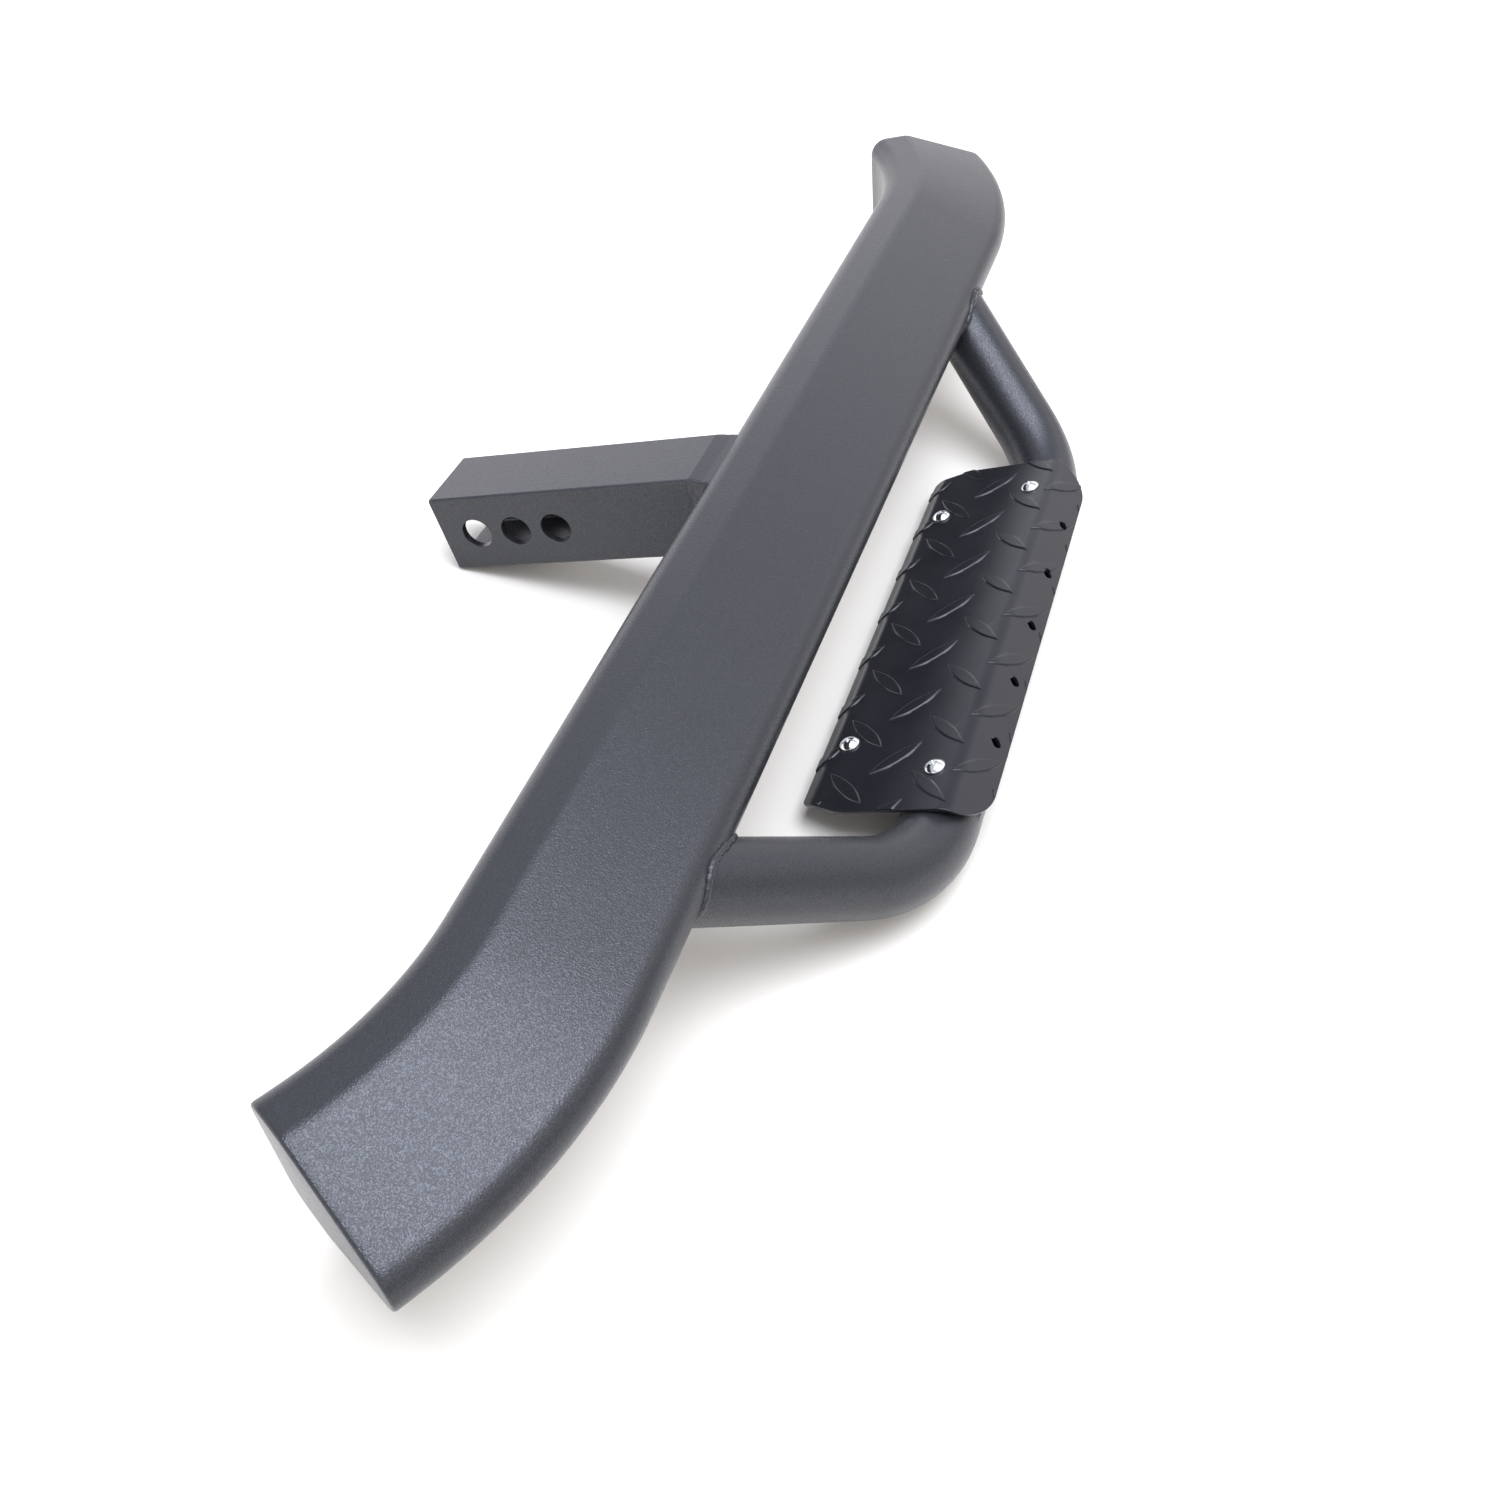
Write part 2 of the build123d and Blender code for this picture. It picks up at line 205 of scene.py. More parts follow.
class HITCHSTEP_PG_plate(bpy.types.PropertyGroup):
    """Sizes of the folded tread plate."""

    length: length("Length", "Length of the plate along the hoop", 0.328)
    thickness: length("Thickness", "Thickness of the sheet without its lugs", 0.002)
    slope: turn("Slope", "How far the main face falls towards the bar", 4.2)
    inner_reach: length("Inner Reach", "From the hoop's axis to the edge near the bar", 0.0695)
    lip_width: length("Lip Width", "Width of the lip near the bar", 0.006)
    lip_angle: turn("Lip Angle", "How far the lip folds down", 26.0)
    fold_offset: length("Fold Offset", "From the hoop's axis to the outer fold", 0.012)
    strip_width: length("Strip Width", "Width of the folded outer strip", 0.0237)
    strip_angle: turn("Strip Angle", "How far the outer strip folds down", 48.0)
    bend_radius: length("Bend Radius", "Inside radius of the folds", 0.010)
    inner_cut_length: length("Inner Cut Length", "Reach of the cut corners across the plate", 0.0235)
    inner_cut_depth: length("Inner Cut Depth", "Reach of the cut corners along the plate", 0.0095)
    inner_tip_radius: length("Inner Tip Radius", "Rounding of the tips near the bar", 0.005)
    inner_blend_radius: length("Inner Blend Radius", "Rounding where the cut corners start", 0.030)
    outer_corner: length("Outer Corner", "Rounding of the outer corners of the flat blank", 0.028)
    rim: length("Rim", "Rounding of the sheet's cut edge", 0.0005)
    seat_clearance: length("Seat Clearance", "Gap between the hoop and the plate", 0.0002)
    bend_steps: number("Bend Steps", "Facets across a fold", 9)
    slot_count: number("Slots", "Drain slots in the outer strip", 5)
    slot_pitch: length("Slot Pitch", "Distance between the drain slots", 0.0508)
    slot_width: length("Slot Width", "Width of a drain slot", 0.0050)
    slot_length: length("Slot Length", "Length of a drain slot", 0.0074)
    slot_distance: length("Slot Distance", "From the fold to the slots", 0.0150)
    slot_lean: turn("Slot Lean", "How far the slots lean up the strip", 36.0)
    slot_round: share("Slot Rounding", "Rounding of a slot's ends as a share of its width", 0.49)
    lug_length: length("Lug Length", "Length of a lug", 0.035)
    lug_width: length("Lug Width", "Width of a lug", 0.0085)
    lug_height: length("Lug Height", "Height of a lug over the sheet", 0.0008)
    lug_angle: turn("Lug Angle", "How far the lugs lean", 45.0)
    lug_shoulder: length("Lug Shoulder", "Width of a lug's sloping side", 0.0010)
    lug_crown: length("Lug Crown", "Rounding over a lug's sloping side", 0.0004)
    lug_column_pitch: length("Lug Column Pitch", "Between lines of lugs across the plate", 0.02275)
    lug_row_pitch: length("Lug Row Pitch", "Between lugs in one line", 0.044)
    lug_rows: number("Lug Rows", "Lugs in one line, with those that the ends cut", 9)
    lug_outward: number("Outward Lug Lines", "Lines of lugs on the outer side of the first", 2)
    lug_inward: number("Inward Lug Lines", "Lines of lugs from the first towards the bar", 4)
    lug_sink: length("Lug Sink", "How far a lug's foot reaches into the sheet", 0.0005)
    lug_inset: length("Lug Inset", "Bare rim along the sheet's edge", 0.0006)
    lug_first: length("First Lug Line", "From the hoop's axis to the first line of lugs", 0.0013)
    lug_shift: length("Lug Shift", "How far the lines of lugs are moved to the left", 0.014)


class HITCHSTEP_PG_screw(bpy.types.PropertyGroup):
    """Sizes of the plate screws."""

    head_diameter: length("Head Diameter", "Diameter of a head", 0.0114)
    head_height: length("Head Height", "Height of a head", 0.0036)
    head_rim: length("Head Rim", "Height of a head's upright rim", 0.0009)
    outer_spread: length("Outer Spread", "Between the two screws over the hoop", 0.265)
    inner_spread: length("Inner Spread", "Between the two screws near the bar", 0.221)
    inner_offset: length("Inner Offset", "From the hoop's axis to the screws near the bar", 0.0545)
    seat_radius: length("Seat Radius", "Flat place round each head", 0.0068)
    recess_length: length("Recess Length", "Span of the cross recess", 0.0058)
    recess_width: length("Recess Width", "Width of the cross recess", 0.0013)
    recess_depth: length("Recess Depth", "Depth of the cross recess", 0.0019)
    recess_taper: share("Recess Taper", "Span of the recess's floor as a share of its mouth", 0.5)
    recess_edge: length("Recess Edge", "Rounding of the head's sharp edges", 0.00015)
    first_turn: FloatProperty(
        name="First Turn", description="How far the first head is turned", default=0.5, subtype="ANGLE"
    )
    turn_step: FloatProperty(
        name="Turn Step", description="From one head's turn to the next", default=1.3, subtype="ANGLE"
    )


class HITCHSTEP_PG_finish(bpy.types.PropertyGroup):
    """Colours and grain of the finishes, and the painted shade on the hoop under the plate's strip."""

    coat: paint("Coat", "Powder coat of the frame", (0.0150, 0.0158, 0.0185))
    coat_tint: paint("Coat Tint", "Tint of the frame coat's gloss", (0.96, 0.96, 1.0))
    coat_gloss: share("Coat Gloss", "Strength of the frame coat's gloss", 0.40)
    coat_roughness: share("Coat Roughness", "Roughness of the powder coat", 0.31)
    coat_patch: length("Coat Patch", "Size of the frame coat's duller patches", 0.045)
    coat_patchiness: share("Coat Patchiness", "How far those patches change the roughness", 0.06)
    coat_relief: length("Coat Relief", "Height of the frame coat's grain", 0.0002)
    coat_relief_strength: share("Coat Relief Strength", "How strongly that grain shows", 0.8)
    grain: length("Grain", "Size of the powder coat's grain", 0.0009)
    flake: paint("Flake", "Metal flakes in the powder coat", (0.064, 0.066, 0.073))
    flake_size: length("Flake Size", "Size of the metal flakes", 0.00042)
    flake_start: share("Flake Start", "Share of the coat that holds no flakes", 0.2)
    flake_metal: share("Flake Metal", "How metallic the brightest flakes are", 0.85)
    flake_polish: share("Flake Polish", "How much smoother the brightest flakes are than the dullest", 0.08)
    # Painted shade: a near-black matt band on the hoop under the plate's outer strip stands in for the
    # shadow there, so that the drain slots read dark.
    painted_shade: paint("Painted Shade", "Coat of the hoop under the plate's strip", (0.003, 0.003, 0.004))
    painted_shade_turn: turn("Painted Shade Turn", "From square to the strip down to the middle of the dull band", 24.0)
    painted_shade_spread: turn("Painted Shade Spread", "Half the dull band's angle about the hoop's axis", 20.0)
    painted_shade_edge: length("Painted Shade Edge", "Softness of the dull band's long edges", 0.0002)
    painted_shade_margin: length("Painted Shade Margin", "From the plate's ends to the dull band", 0.012)
    tread: paint("Tread", "Coat of the tread plate", (0.0060, 0.0064, 0.0086))
    tread_tint: paint("Tread Tint", "Tint of the plate coat's gloss", (0.95, 0.95, 1.0))
    tread_gloss: share("Tread Gloss", "Strength of the plate coat's gloss", 0.42)
    tread_roughness: share("Tread Roughness", "Roughness of the plate's coat", 0.24)
    tread_patch: length("Tread Patch", "Size of the plate coat's paler patches", 0.030)
    tread_paling: share("Tread Paling", "How far those patches turn to the flakes' colour", 0.15)
    tread_patchiness: share("Tread Patchiness", "How far those patches change the roughness", 0.10)
    tread_relief: length("Tread Relief", "Height of the plate coat's grain", 0.00008)
    tread_relief_strength: share("Tread Relief Strength", "How strongly that grain shows", 0.6)
    plating: paint("Plating", "Bright plating of the screws", (0.74, 0.75, 0.77))
    plating_shade: paint("Plating Shade", "Darker plating between the bright", (0.55, 0.56, 0.58))
    plating_shading: share("Plating Shading", "How far the plating turns to the darker", 0.3)
    plating_roughness: share("Plating Roughness", "Roughness of the plating", 0.16)
    plating_patch: length("Plating Patch", "Size of the plating's darker patches", 0.004)
    plating_patchiness: share("Plating Patchiness", "How far those patches change the roughness", 0.10)
    plating_relief: length("Plating Relief", "Height of the plating's unevenness", 0.0001)
    plating_relief_strength: share("Plating Relief Strength", "How strongly that unevenness shows", 0.3)


class HITCHSTEP_PG_stage(bpy.types.PropertyGroup):
    """Camera, floor and light."""

    camera_place: place("Camera", "Where the camera stands", (-0.68180, -0.50623, 0.41244))
    camera_aim: place("Aim", "Point in the middle of the picture", (-0.073072, -0.131450, -0.134360))
    camera_roll: turn("Roll", "Turn of the camera about its line of sight", -20.248)
    lens: FloatProperty(
        name="Lens", description="Focal length in millimetres", default=35.916, unit="CAMERA"
    )
    floor_tilt: turn("Floor Tilt", "Lean of the floor that the step lies on", 19.2)
    floor_size: length("Floor Size", "Half the side of the floor", 3.0)
    floor: paint("Floor", "Paint of the floor", (0.82, 0.785, 0.72))
    floor_shade: paint("Floor Shade", "Paint of the floor's darker patches", (0.78, 0.75, 0.70))
    floor_patch: length("Floor Patch", "Size of those patches", 0.4)
    floor_shading: share("Floor Shading", "How far the floor turns to the darker paint", 0.05)
    floor_roughness: share("Floor Roughness", "Roughness of the floor", 0.7)
    floor_gap: length("Floor Gap", "Gap under the shank's lower edge", 0.0004)
    ceiling: FloatProperty(name="Ceiling", description="Brightness overhead", default=0.78, min=0.0)
    walls: FloatProperty(name="Walls", description="Brightness at the horizon", default=2.02, min=0.0)
    ceiling_tint: paint("Ceiling Tint", "Colour of the light from overhead", (0.86, 0.90, 1.0))
    wall_tint: paint("Wall Tint", "Colour of the light from the walls", (1.0, 0.985, 1.0))
    low_shade: share("Low Shade", "How much darker the room is near the floor", 0.45)
    front_shade: share("Front Shade", "How much darker the room is in front of the step", 0.2)
    box_place: place("Soft Box", "Middle of the soft box", (-0.10, -1.00, 1.85))
    box_size: length("Soft Box Size", "Side of the square soft box", 2.00)
    box_aim: place("Soft Box Aim", "Point that the soft box faces", (0.0, -0.15, -0.05))
    box_power: FloatProperty(
        name="Soft Box Power", description="Power of the soft box", default=84.0, unit="POWER"
    )


# Frames of the tilted bar and of the plate

def bar_matrix(bar):
    """From the bar's own frame, with its ridge along x, to the row frame."""
    return Matrix.Translation((0, -bar.reach, bar.ridge_height)) @ Matrix.Rotation(bar.tilt, 4, "X")


def hoop_points(bar, hoop):
    """Corner and root of the right leg's axis."""
    corner = Vector((hoop.corner_spread / 2, -hoop.run_reach, -hoop.run_drop))
    inside = Vector((0, hoop.root_setback - bar.nose_reach, -bar.height / 2 - hoop.root_sink))
    root = bar_matrix(bar) @ inside
    root.x = hoop.root_spread / 2
    return corner, root


def plate_seat(bar, hoop, plate):
    """Height of the plate's underside over the run's axis, clear of the rising bends."""
    corner, root = hoop_points(bar, hoop)
    leg = root - corner
    normal = Vector((0, sin(plate.slope), cos(plate.slope)))
    radius = hoop.diameter / 2
    bend = atan2(hypot(leg.y, leg.z), leg.x)
    run_end = hoop.corner_spread / 2 - hoop.bend_radius * tan(bend / 2)
    overhang = max(0.0, plate.length / 2 - run_end)
    upward = Vector((0, leg.y, leg.z)).normalized().dot(normal)
    swing = asin(min(sin(bend), overhang / (hoop.bend_radius - radius * upward)))
    rise = hoop.bend_radius * (1 - cos(swing)) * upward
    return rise + radius * sqrt(1 - (sin(swing) * upward) ** 2) + plate.seat_clearance


def plate_matrix(bar, hoop, plate):
    """From the plate's own frame, with z square to its main face, to the row frame."""
    turned = Matrix.Rotation(-plate.slope, 4, "X")
    lifted = Matrix.Translation((0, 0, plate_seat(bar, hoop, plate)))
    return Matrix.Translation((0, -hoop.run_reach, -hoop.run_drop)) @ turned @ lifted


# Mesh helpers

def edges_of(geometry):
    """The edges in a list of mesh elements."""
    return [item for item in geometry if isinstance(item, bmesh.types.BMEdge)]


def verts_of(geometry):
    """The vertices in a list of mesh elements."""
    return [item for item in geometry if isinstance(item, bmesh.types.BMVert)]


def all_of(shape):
    """All the elements of a mesh."""
    return shape.verts[:] + shape.edges[:] + shape.faces[:]


def rounded_line(shape, corners, radii, steps):
    """Closed line of edges in the XY plane, anticlockwise through rounded corners."""
    points = [Vector((x, y, 0)) for x, y in corners]
    arcs = []
    for index, corner in enumerate(points):
        before = (points[index - 1] - corner).normalized()
        after = (points[(index + 1) % len(points)] - corner).normalized()
        half = before.angle(after) / 2
        first = shape.verts.new(corner + before * radii[index] / tan(half))
        centre = corner + (before + after).normalized() * radii[index] / sin(half)
        spun = bmesh.ops.spin(
            shape, geom=[first], cent=centre, axis=(0, 0, 1), angle=pi - 2 * half, steps=steps
        )
        arcs.append((first, verts_of(spun["geom_last"])[0]))
    for index, (first, last) in enumerate(arcs):
        shape.edges.new((last, arcs[(index + 1) % len(arcs)][0]))
    return line_from(arcs[0][0])


def line_from(vert):
    """All the edges joined to a vertex, in the order in which they are met."""
    found = dict.fromkeys(vert.link_edges)
    waiting = list(found)
    while waiting:
        edge = waiting.pop()
        for end in edge.verts:
            fresh = [other for other in end.link_edges if other not in found]
            found.update(dict.fromkeys(fresh))
            waiting.extend(fresh)
    return list(found)


def ends_of(edges):
    """The vertices of some edges, each once and in the edges' order."""
    return list(dict.fromkeys(vert for edge in edges for vert in edge.verts))


def lengthen(shape, edges, offset):
    """Extrudes a line of edges and returns the moved line."""
    made = bmesh.ops.extrude_edge_only(shape, edges=edges)["geom"]
    moved = verts_of(made)
    bmesh.ops.translate(shape, verts=moved, vec=offset)
    kept = set(moved)
    return [edge for edge in edges_of(made) if kept.issuperset(edge.verts)]


def sweep_round(shape, edges, centre, axis, angle, steps):
    """Spins a line of edges about an axis and returns the last line."""
    spun = bmesh.ops.spin(
        shape, geom=edges + ends_of(edges), cent=centre, axis=axis, angle=angle, steps=steps
    )
    return edges_of(spun["geom_last"])


def tidy(shape):
    """Merges doubles and turns the faces outwards."""
    bmesh.ops.remove_doubles(shape, verts=shape.verts, dist=MERGE_DISTANCE)
    bmesh.ops.recalc_face_normals(shape, faces=shape.faces)


def mirror_half(shape):
    """Adds the left half of a shape whose right half stands open at the middle."""
    bmesh.ops.mirror(shape, geom=all_of(shape), axis="X", merge_dist=MERGE_DISTANCE)
    tidy(shape)


def prism(shape, edges, offset):
    """Closes a flat closed line into a prism, and returns the far line."""
    far = lengthen(shape, edges, offset)
    bmesh.ops.contextual_create(shape, geom=edges)
    bmesh.ops.contextual_create(shape, geom=far)
    bmesh.ops.recalc_face_normals(shape, faces=shape.faces)
    return far


def add_rod(shape, radius, depth, facets, matrix):
    """Adds a closed cylinder along z, at a place, to a shape."""
    bmesh.ops.create_cone(
        shape, cap_ends=True, segments=facets, radius1=radius, radius2=radius, depth=depth, matrix=matrix
    )


def round_edges(shape, edges, offset, segments):
    """Rounds some edges."""
    bmesh.ops.bevel(
        shape, geom=edges, offset=offset, affect="EDGES", segments=segments, profile=0.5, material=-1
    )


def soften(shape, offset, limit, segments):
    """Rounds the edges that are sharper than a limit."""
    sharp = [edge for edge in shape.edges if edge.is_manifold and edge.calc_face_angle() > limit]
    round_edges(shape, sharp, offset, segments)


def combine(shape, tool, operation):
    """Cuts, crosses or joins a shape with a tool, and returns the outcome."""
    objects = []
    for name, part in (("worked", shape), ("tool", tool)):
        mesh = bpy.data.meshes.new(name)
        part.to_mesh(mesh)
        part.free()
        made = bpy.data.objects.new(name, mesh)
        bpy.context.scene.collection.objects.link(made)
        objects.append(made)
    modifier = objects[0].modifiers.new("combine", "BOOLEAN")
    modifier.operation = operation
    modifier.solver = "EXACT"
    modifier.object = objects[1]
    result = bmesh.new()
    result.from_object(objects[0], bpy.context.evaluated_depsgraph_get())
    for made in objects:
        mesh = made.data
        bpy.data.objects.remove(made)
        bpy.data.meshes.remove(mesh)
    if not result.faces:
        raise RuntimeError("nothing was left after a cut")
    return result


def carve(shape, tool):
    """Takes a tool out of a shape, and returns the shape that is left."""
    return combine(shape, tool, "DIFFERENCE")


def stamp(shape, part, places):
    """Adds copies of a part to a shape, one at each place, and frees the part."""
    mesh = bpy.data.meshes.new("stamp")
    part.to_mesh(mesh)
    part.free()
    for matrix in places:
        known = len(shape.verts)
        shape.from_mesh(mesh)
        shape.verts.ensure_lookup_table()
        bmesh.ops.transform(shape, matrix=matrix, verts=shape.verts[known:])
    bpy.data.meshes.remove(mesh)


def join_rings(shape, rings):
    """Bridges closed rings of edges in turn, and the last to the first."""
    for index, ring in enumerate(rings):
        bmesh.ops.bridge_loops(shape, edges=ring + rings[index - 1])
    tidy(shape)


def add_piece(name, shape, material, nodes, crease):
    """Makes an object of a shape, in place of CAD nodes, with smooth faces up to a crease angle."""
    mesh = bpy.data.meshes.new(name)
    shape.to_mesh(mesh)
    shape.free()
    mesh.shade_smooth()
    mesh.set_sharp_from_angle(angle=crease)
    mesh.materials.append(material)
    piece = bpy.data.objects.new(name, mesh)
    bpy.context.scene.collection.objects.link(piece)
    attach(piece, "root")
    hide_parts(*nodes)
    return piece


def weigh_normals(piece):
    """Lets the large faces of a piece set the shading over their rounded edges."""
    modifier = piece.modifiers.new("Weighted Normal", "WEIGHTED_NORMAL")
    modifier.keep_sharp = True


# Shader helpers

class Signal:
    """A node's output that takes part in Python arithmetic."""

    def __init__(self, graph, socket):
        self.graph = graph
        self.socket = socket

    def combine(self, operation, first, second):
        """Adds a Math node on two values."""
        return self.graph.node("ShaderNodeMath", {"operation": operation}, {0: first, 1: second})

    def __add__(self, other):
        return self.combine("ADD", self, other)

    def __radd__(self, other):
        return self.combine("ADD", other, self)

    def __sub__(self, other):
        return self.combine("SUBTRACT", self, other)

    def __rsub__(self, other):
        return self.combine("SUBTRACT", other, self)

    def __mul__(self, other):
        return self.combine("MULTIPLY", self, other)

    def __rmul__(self, other):
        return self.combine("MULTIPLY", other, self)


class Graph:
    """Nodes of one material or world."""

    def __init__(self, owner):
        owner.use_nodes = True
        self.tree = owner.node_tree
        self.tree.nodes.clear()

    def node(self, kind, settings, sockets, output=0):
        """Adds a node with its settings, values and links, and returns one of its outputs."""
        made = self.tree.nodes.new(kind)
        for name, value in settings.items():
            setattr(made, name, value)
        for name, value in sockets.items():
            if isinstance(value, Signal):
                self.tree.links.new(value.socket, made.inputs[name])
            else:
                made.inputs[name].default_value = value
        return Signal(self, made.outputs[output]) if made.outputs else None

    def object_place(self):
        """Place on the piece, in metres."""
        return self.node("ShaderNodeTexCoord", {}, {}, "Object")

    def clouds(self, vector, size, detail):
        """Cloudy pattern of a size."""
        return self.node("ShaderNodeTexNoise", {}, {"Vector": vector, "Scale": 1 / size, "Detail": detail})

    def step(self, value, low, high):
        """Soft step from nought at the low value to one at the high."""
        settings = {"interpolation_type": "SMOOTHSTEP"}
        sockets = {"Value": value, "From Min": low, "From Max": high}
        return self.node("ShaderNodeMapRange", settings, sockets)

    def blend(self, factor, first, second):
        """Colour between two, by a factor."""
        sockets = {0: factor, 6: (*first, 1.0), 7: (*second, 1.0)}
        return self.node("ShaderNodeMix", {"data_type": "RGBA"}, sockets, 2)

    def bump(self, height, distance, strength):
        """Normal that follows a pattern's relief."""
        sockets = {"Height": height, "Distance": distance, "Strength": strength}
        return self.node("ShaderNodeBump", {}, sockets)


def material_of(shader, *groups):
    """The material that a shader function describes, made once and named after the function."""
    name = shader.__name__ + "_finish"
    material = bpy.data.materials.get(name)
    if material is None:
        material = bpy.data.materials.new(name)
        graph = Graph(material)
        graph.node("ShaderNodeOutputMaterial", {}, {"Surface": shader(graph, *groups)})
    return material


def frame_coat(graph, finish):
    """Charcoal powder coat of the welded frame, with a fine grain and metal flakes."""
    spot = graph.object_place()
    grain = graph.clouds(spot, finish.grain, SOFT_DETAIL)
    patches = graph.clouds(spot, finish.coat_patch, SOFT_DETAIL)
    cell = graph.node("ShaderNodeTexVoronoi", {}, {"Vector": spot, "Scale": 1 / finish.flake_size}, "Color")
    chance = graph.node("ShaderNodeSeparateColor", {}, {"Color": cell}, "Red")
    flakes = graph.step(chance, finish.flake_start, 1.0)
    dulling = finish.coat_patchiness * (patches - MIDDLE)
    polish = finish.flake_polish * (MIDDLE - chance)
    return graph.node(
        "ShaderNodeBsdfPrincipled",
        {},
        {
            "Base Color": graph.blend(flakes, finish.coat, finish.flake),
            "Metallic": finish.flake_metal * flakes,
            "Roughness": finish.coat_roughness + dulling + polish,
            "Specular IOR Level": finish.coat_gloss,
            "Specular Tint": (*finish.coat_tint, 1.0),
            "Normal": graph.bump(grain, finish.coat_relief, finish.coat_relief_strength),
        },
    )


def hoop_coat_and_painted_shade(graph, finish, hoop, plate):
    """Powder coat of the hoop, with a near-black matt band of painted shade where the plate's outer strip
    covers it.
    """
    lean = plate.strip_angle - plate.slope + finish.painted_shade_turn
    outward = Vector((0, -sin(lean), cos(lean)))
    axis = Vector((0, -hoop.run_reach, -hoop.run_drop))
    spot = graph.object_place()
    along = graph.node("ShaderNodeSeparateXYZ", {}, {"Vector": spot}, "X")
    aside = graph.node("ShaderNodeMath", {"operation": "ABSOLUTE"}, {0: along})
    end = plate.length / 2 - finish.painted_shade_margin
    beyond = graph.step(aside, end - finish.painted_shade_margin, end)
    settings = {"operation": "DOT_PRODUCT"}
    facing = graph.node("ShaderNodeVectorMath", settings, {0: spot, 1: outward}, "Value")
    # The band of painted shade: the part of the hoop that faces the outer strip, short of the plate's ends.
    edge = outward.dot(axis) + hoop.diameter / 2 * cos(finish.painted_shade_spread)
    shaded_band = graph.step(facing, edge, edge + finish.painted_shade_edge) * (1 - beyond)
    # The painted shade itself: a matt near-black coat in place of the lit powder coat.
    painted_shade = graph.node("ShaderNodeBsdfDiffuse", {}, {"Color": (*finish.painted_shade, 1.0)})
    return graph.node("ShaderNodeMixShader", {}, {0: shaded_band, 1: frame_coat(graph, finish), 2: painted_shade})


def tread_coat(graph, finish):
    """Darker satin coat of the tread plate."""
    spot = graph.object_place()
    grain = graph.clouds(spot, finish.grain, SOFT_DETAIL)
    patches = graph.clouds(spot, finish.tread_patch, FINE_DETAIL)
    return graph.node(
        "ShaderNodeBsdfPrincipled",
        {},
        {
            "Base Color": graph.blend(finish.tread_paling * patches, finish.tread, finish.flake),
            "Roughness": finish.tread_roughness + finish.tread_patchiness * (patches - MIDDLE),
            "Specular IOR Level": finish.tread_gloss,
            "Specular Tint": (*finish.tread_tint, 1.0),
            "Normal": graph.bump(grain, finish.tread_relief, finish.tread_relief_strength),
        },
    )


def screw_plating(graph, finish):
    """Bright plating with a faint unevenness."""
    patches = graph.clouds(graph.object_place(), finish.plating_patch, FINE_DETAIL)
    shading = finish.plating_shading * patches
    return graph.node(
        "ShaderNodeBsdfPrincipled",
        {},
        {
            "Base Color": graph.blend(shading, finish.plating, finish.plating_shade),
            "Metallic": 1.0,
            "Roughness": finish.plating_roughness + finish.plating_patchiness * (patches - MIDDLE),
            "Normal": graph.bump(patches, finish.plating_relief, finish.plating_relief_strength),
        },
    )


# Bar and end caps

def bar_section(shape, bar):
    """Closed line of the bar's section at x nought, in the bar's own frame."""
    half = bar.height / 2
    nose_centre = bar.nose_reach - bar.nose_radius
    slope = atan2(half, nose_centre) - asin(bar.nose_radius / hypot(nose_centre, half))
    corners = [
        (0, 0),
        (-half / tan(slope), -half),
        (0, -bar.height),
        (bar.top_width, -bar.height),
        (bar.top_width, 0),
    ]
    radii = [bar.ridge_radius, bar.nose_radius, bar.ridge_radius, bar.back_radius, bar.back_radius]
    edges = rounded_line(shape, corners, radii, SECTION_CORNER_STEPS)
    upright = Matrix(((0, 0, 1, 0), (1, 0, 0, 0), (0, 1, 0, 0), (0, 0, 0, 1)))
    bmesh.ops.transform(shape, matrix=upright, verts=ends_of(edges))
    return edges


def bar_shape(bar):
    """Bent bar, swept along its ridge."""
    shape = bmesh.new()
    edges = bar_section(shape, bar)
    edges = lengthen(shape, edges, (bar.straight_length / 2, 0, 0))
    centre = (bar.straight_length / 2, bar.bend_radius, 0)
    edges = sweep_round(shape, edges, centre, (0, 0, 1), bar.bend_angle, BEND_STEPS)
    edges = lengthen(shape, edges, Vector((cos(bar.bend_angle), sin(bar.bend_angle), 0)) * bar.end_length)
    bmesh.ops.contextual_create(shape, geom=edges)
    mirror_half(shape)
    shape.transform(bar_matrix(bar))
    return shape


def cap_shape(bar, side):
    """Flat plate over one end of the bar."""
    shape = bmesh.new()
    rim = prism(shape, bar_section(shape, bar), (bar.cap_thickness, 0, 0))
    round_edges(shape, rim, bar.cap_edge, ROUNDING_STEPS)
    swing = bar.bend_angle
    along = bar.straight_length / 2 + bar.bend_radius * sin(swing) + bar.end_length * cos(swing)
    back = bar.bend_radius * (1 - cos(swing)) + bar.end_length * sin(swing)
    turned = Matrix.Translation((along, back, 0)) @ Matrix.Rotation(swing, 4, "Z")
    shape.transform(bar_matrix(bar) @ Matrix.Diagonal((side, 1, 1, 1)) @ turned)
    tidy(shape)
    return shape


class HITCHSTEP_OT_bar(bpy.types.Operator):
    """Builds the bent bar and its two end caps"""

    bl_idname = "hitch_step.bar"
    bl_label = "Bar and End Caps"

    def execute(self, context):
        bar = context.scene.hitch_bar
        coat = material_of(frame_coat, context.scene.hitch_finish)
        piece = add_piece("bar_shell", bar_shape(bar), coat, ["main_bar"], CREASE)
        weigh_normals(piece)
        for name, side in SIDES:
            shape = cap_shape(bar, side)
            add_piece("cap_" + name, shape, coat, ["end_cap_" + name], CREASE)
        return {"FINISHED"}


# Receiver shank

def back_reach(bar, height):
    """Where the bar's flat back lies along y, at a height."""
    on_face = bar_matrix(bar) @ Vector((0, bar.top_width, 0))
    return on_face.y - (height - on_face.z) * tan(bar.tilt)


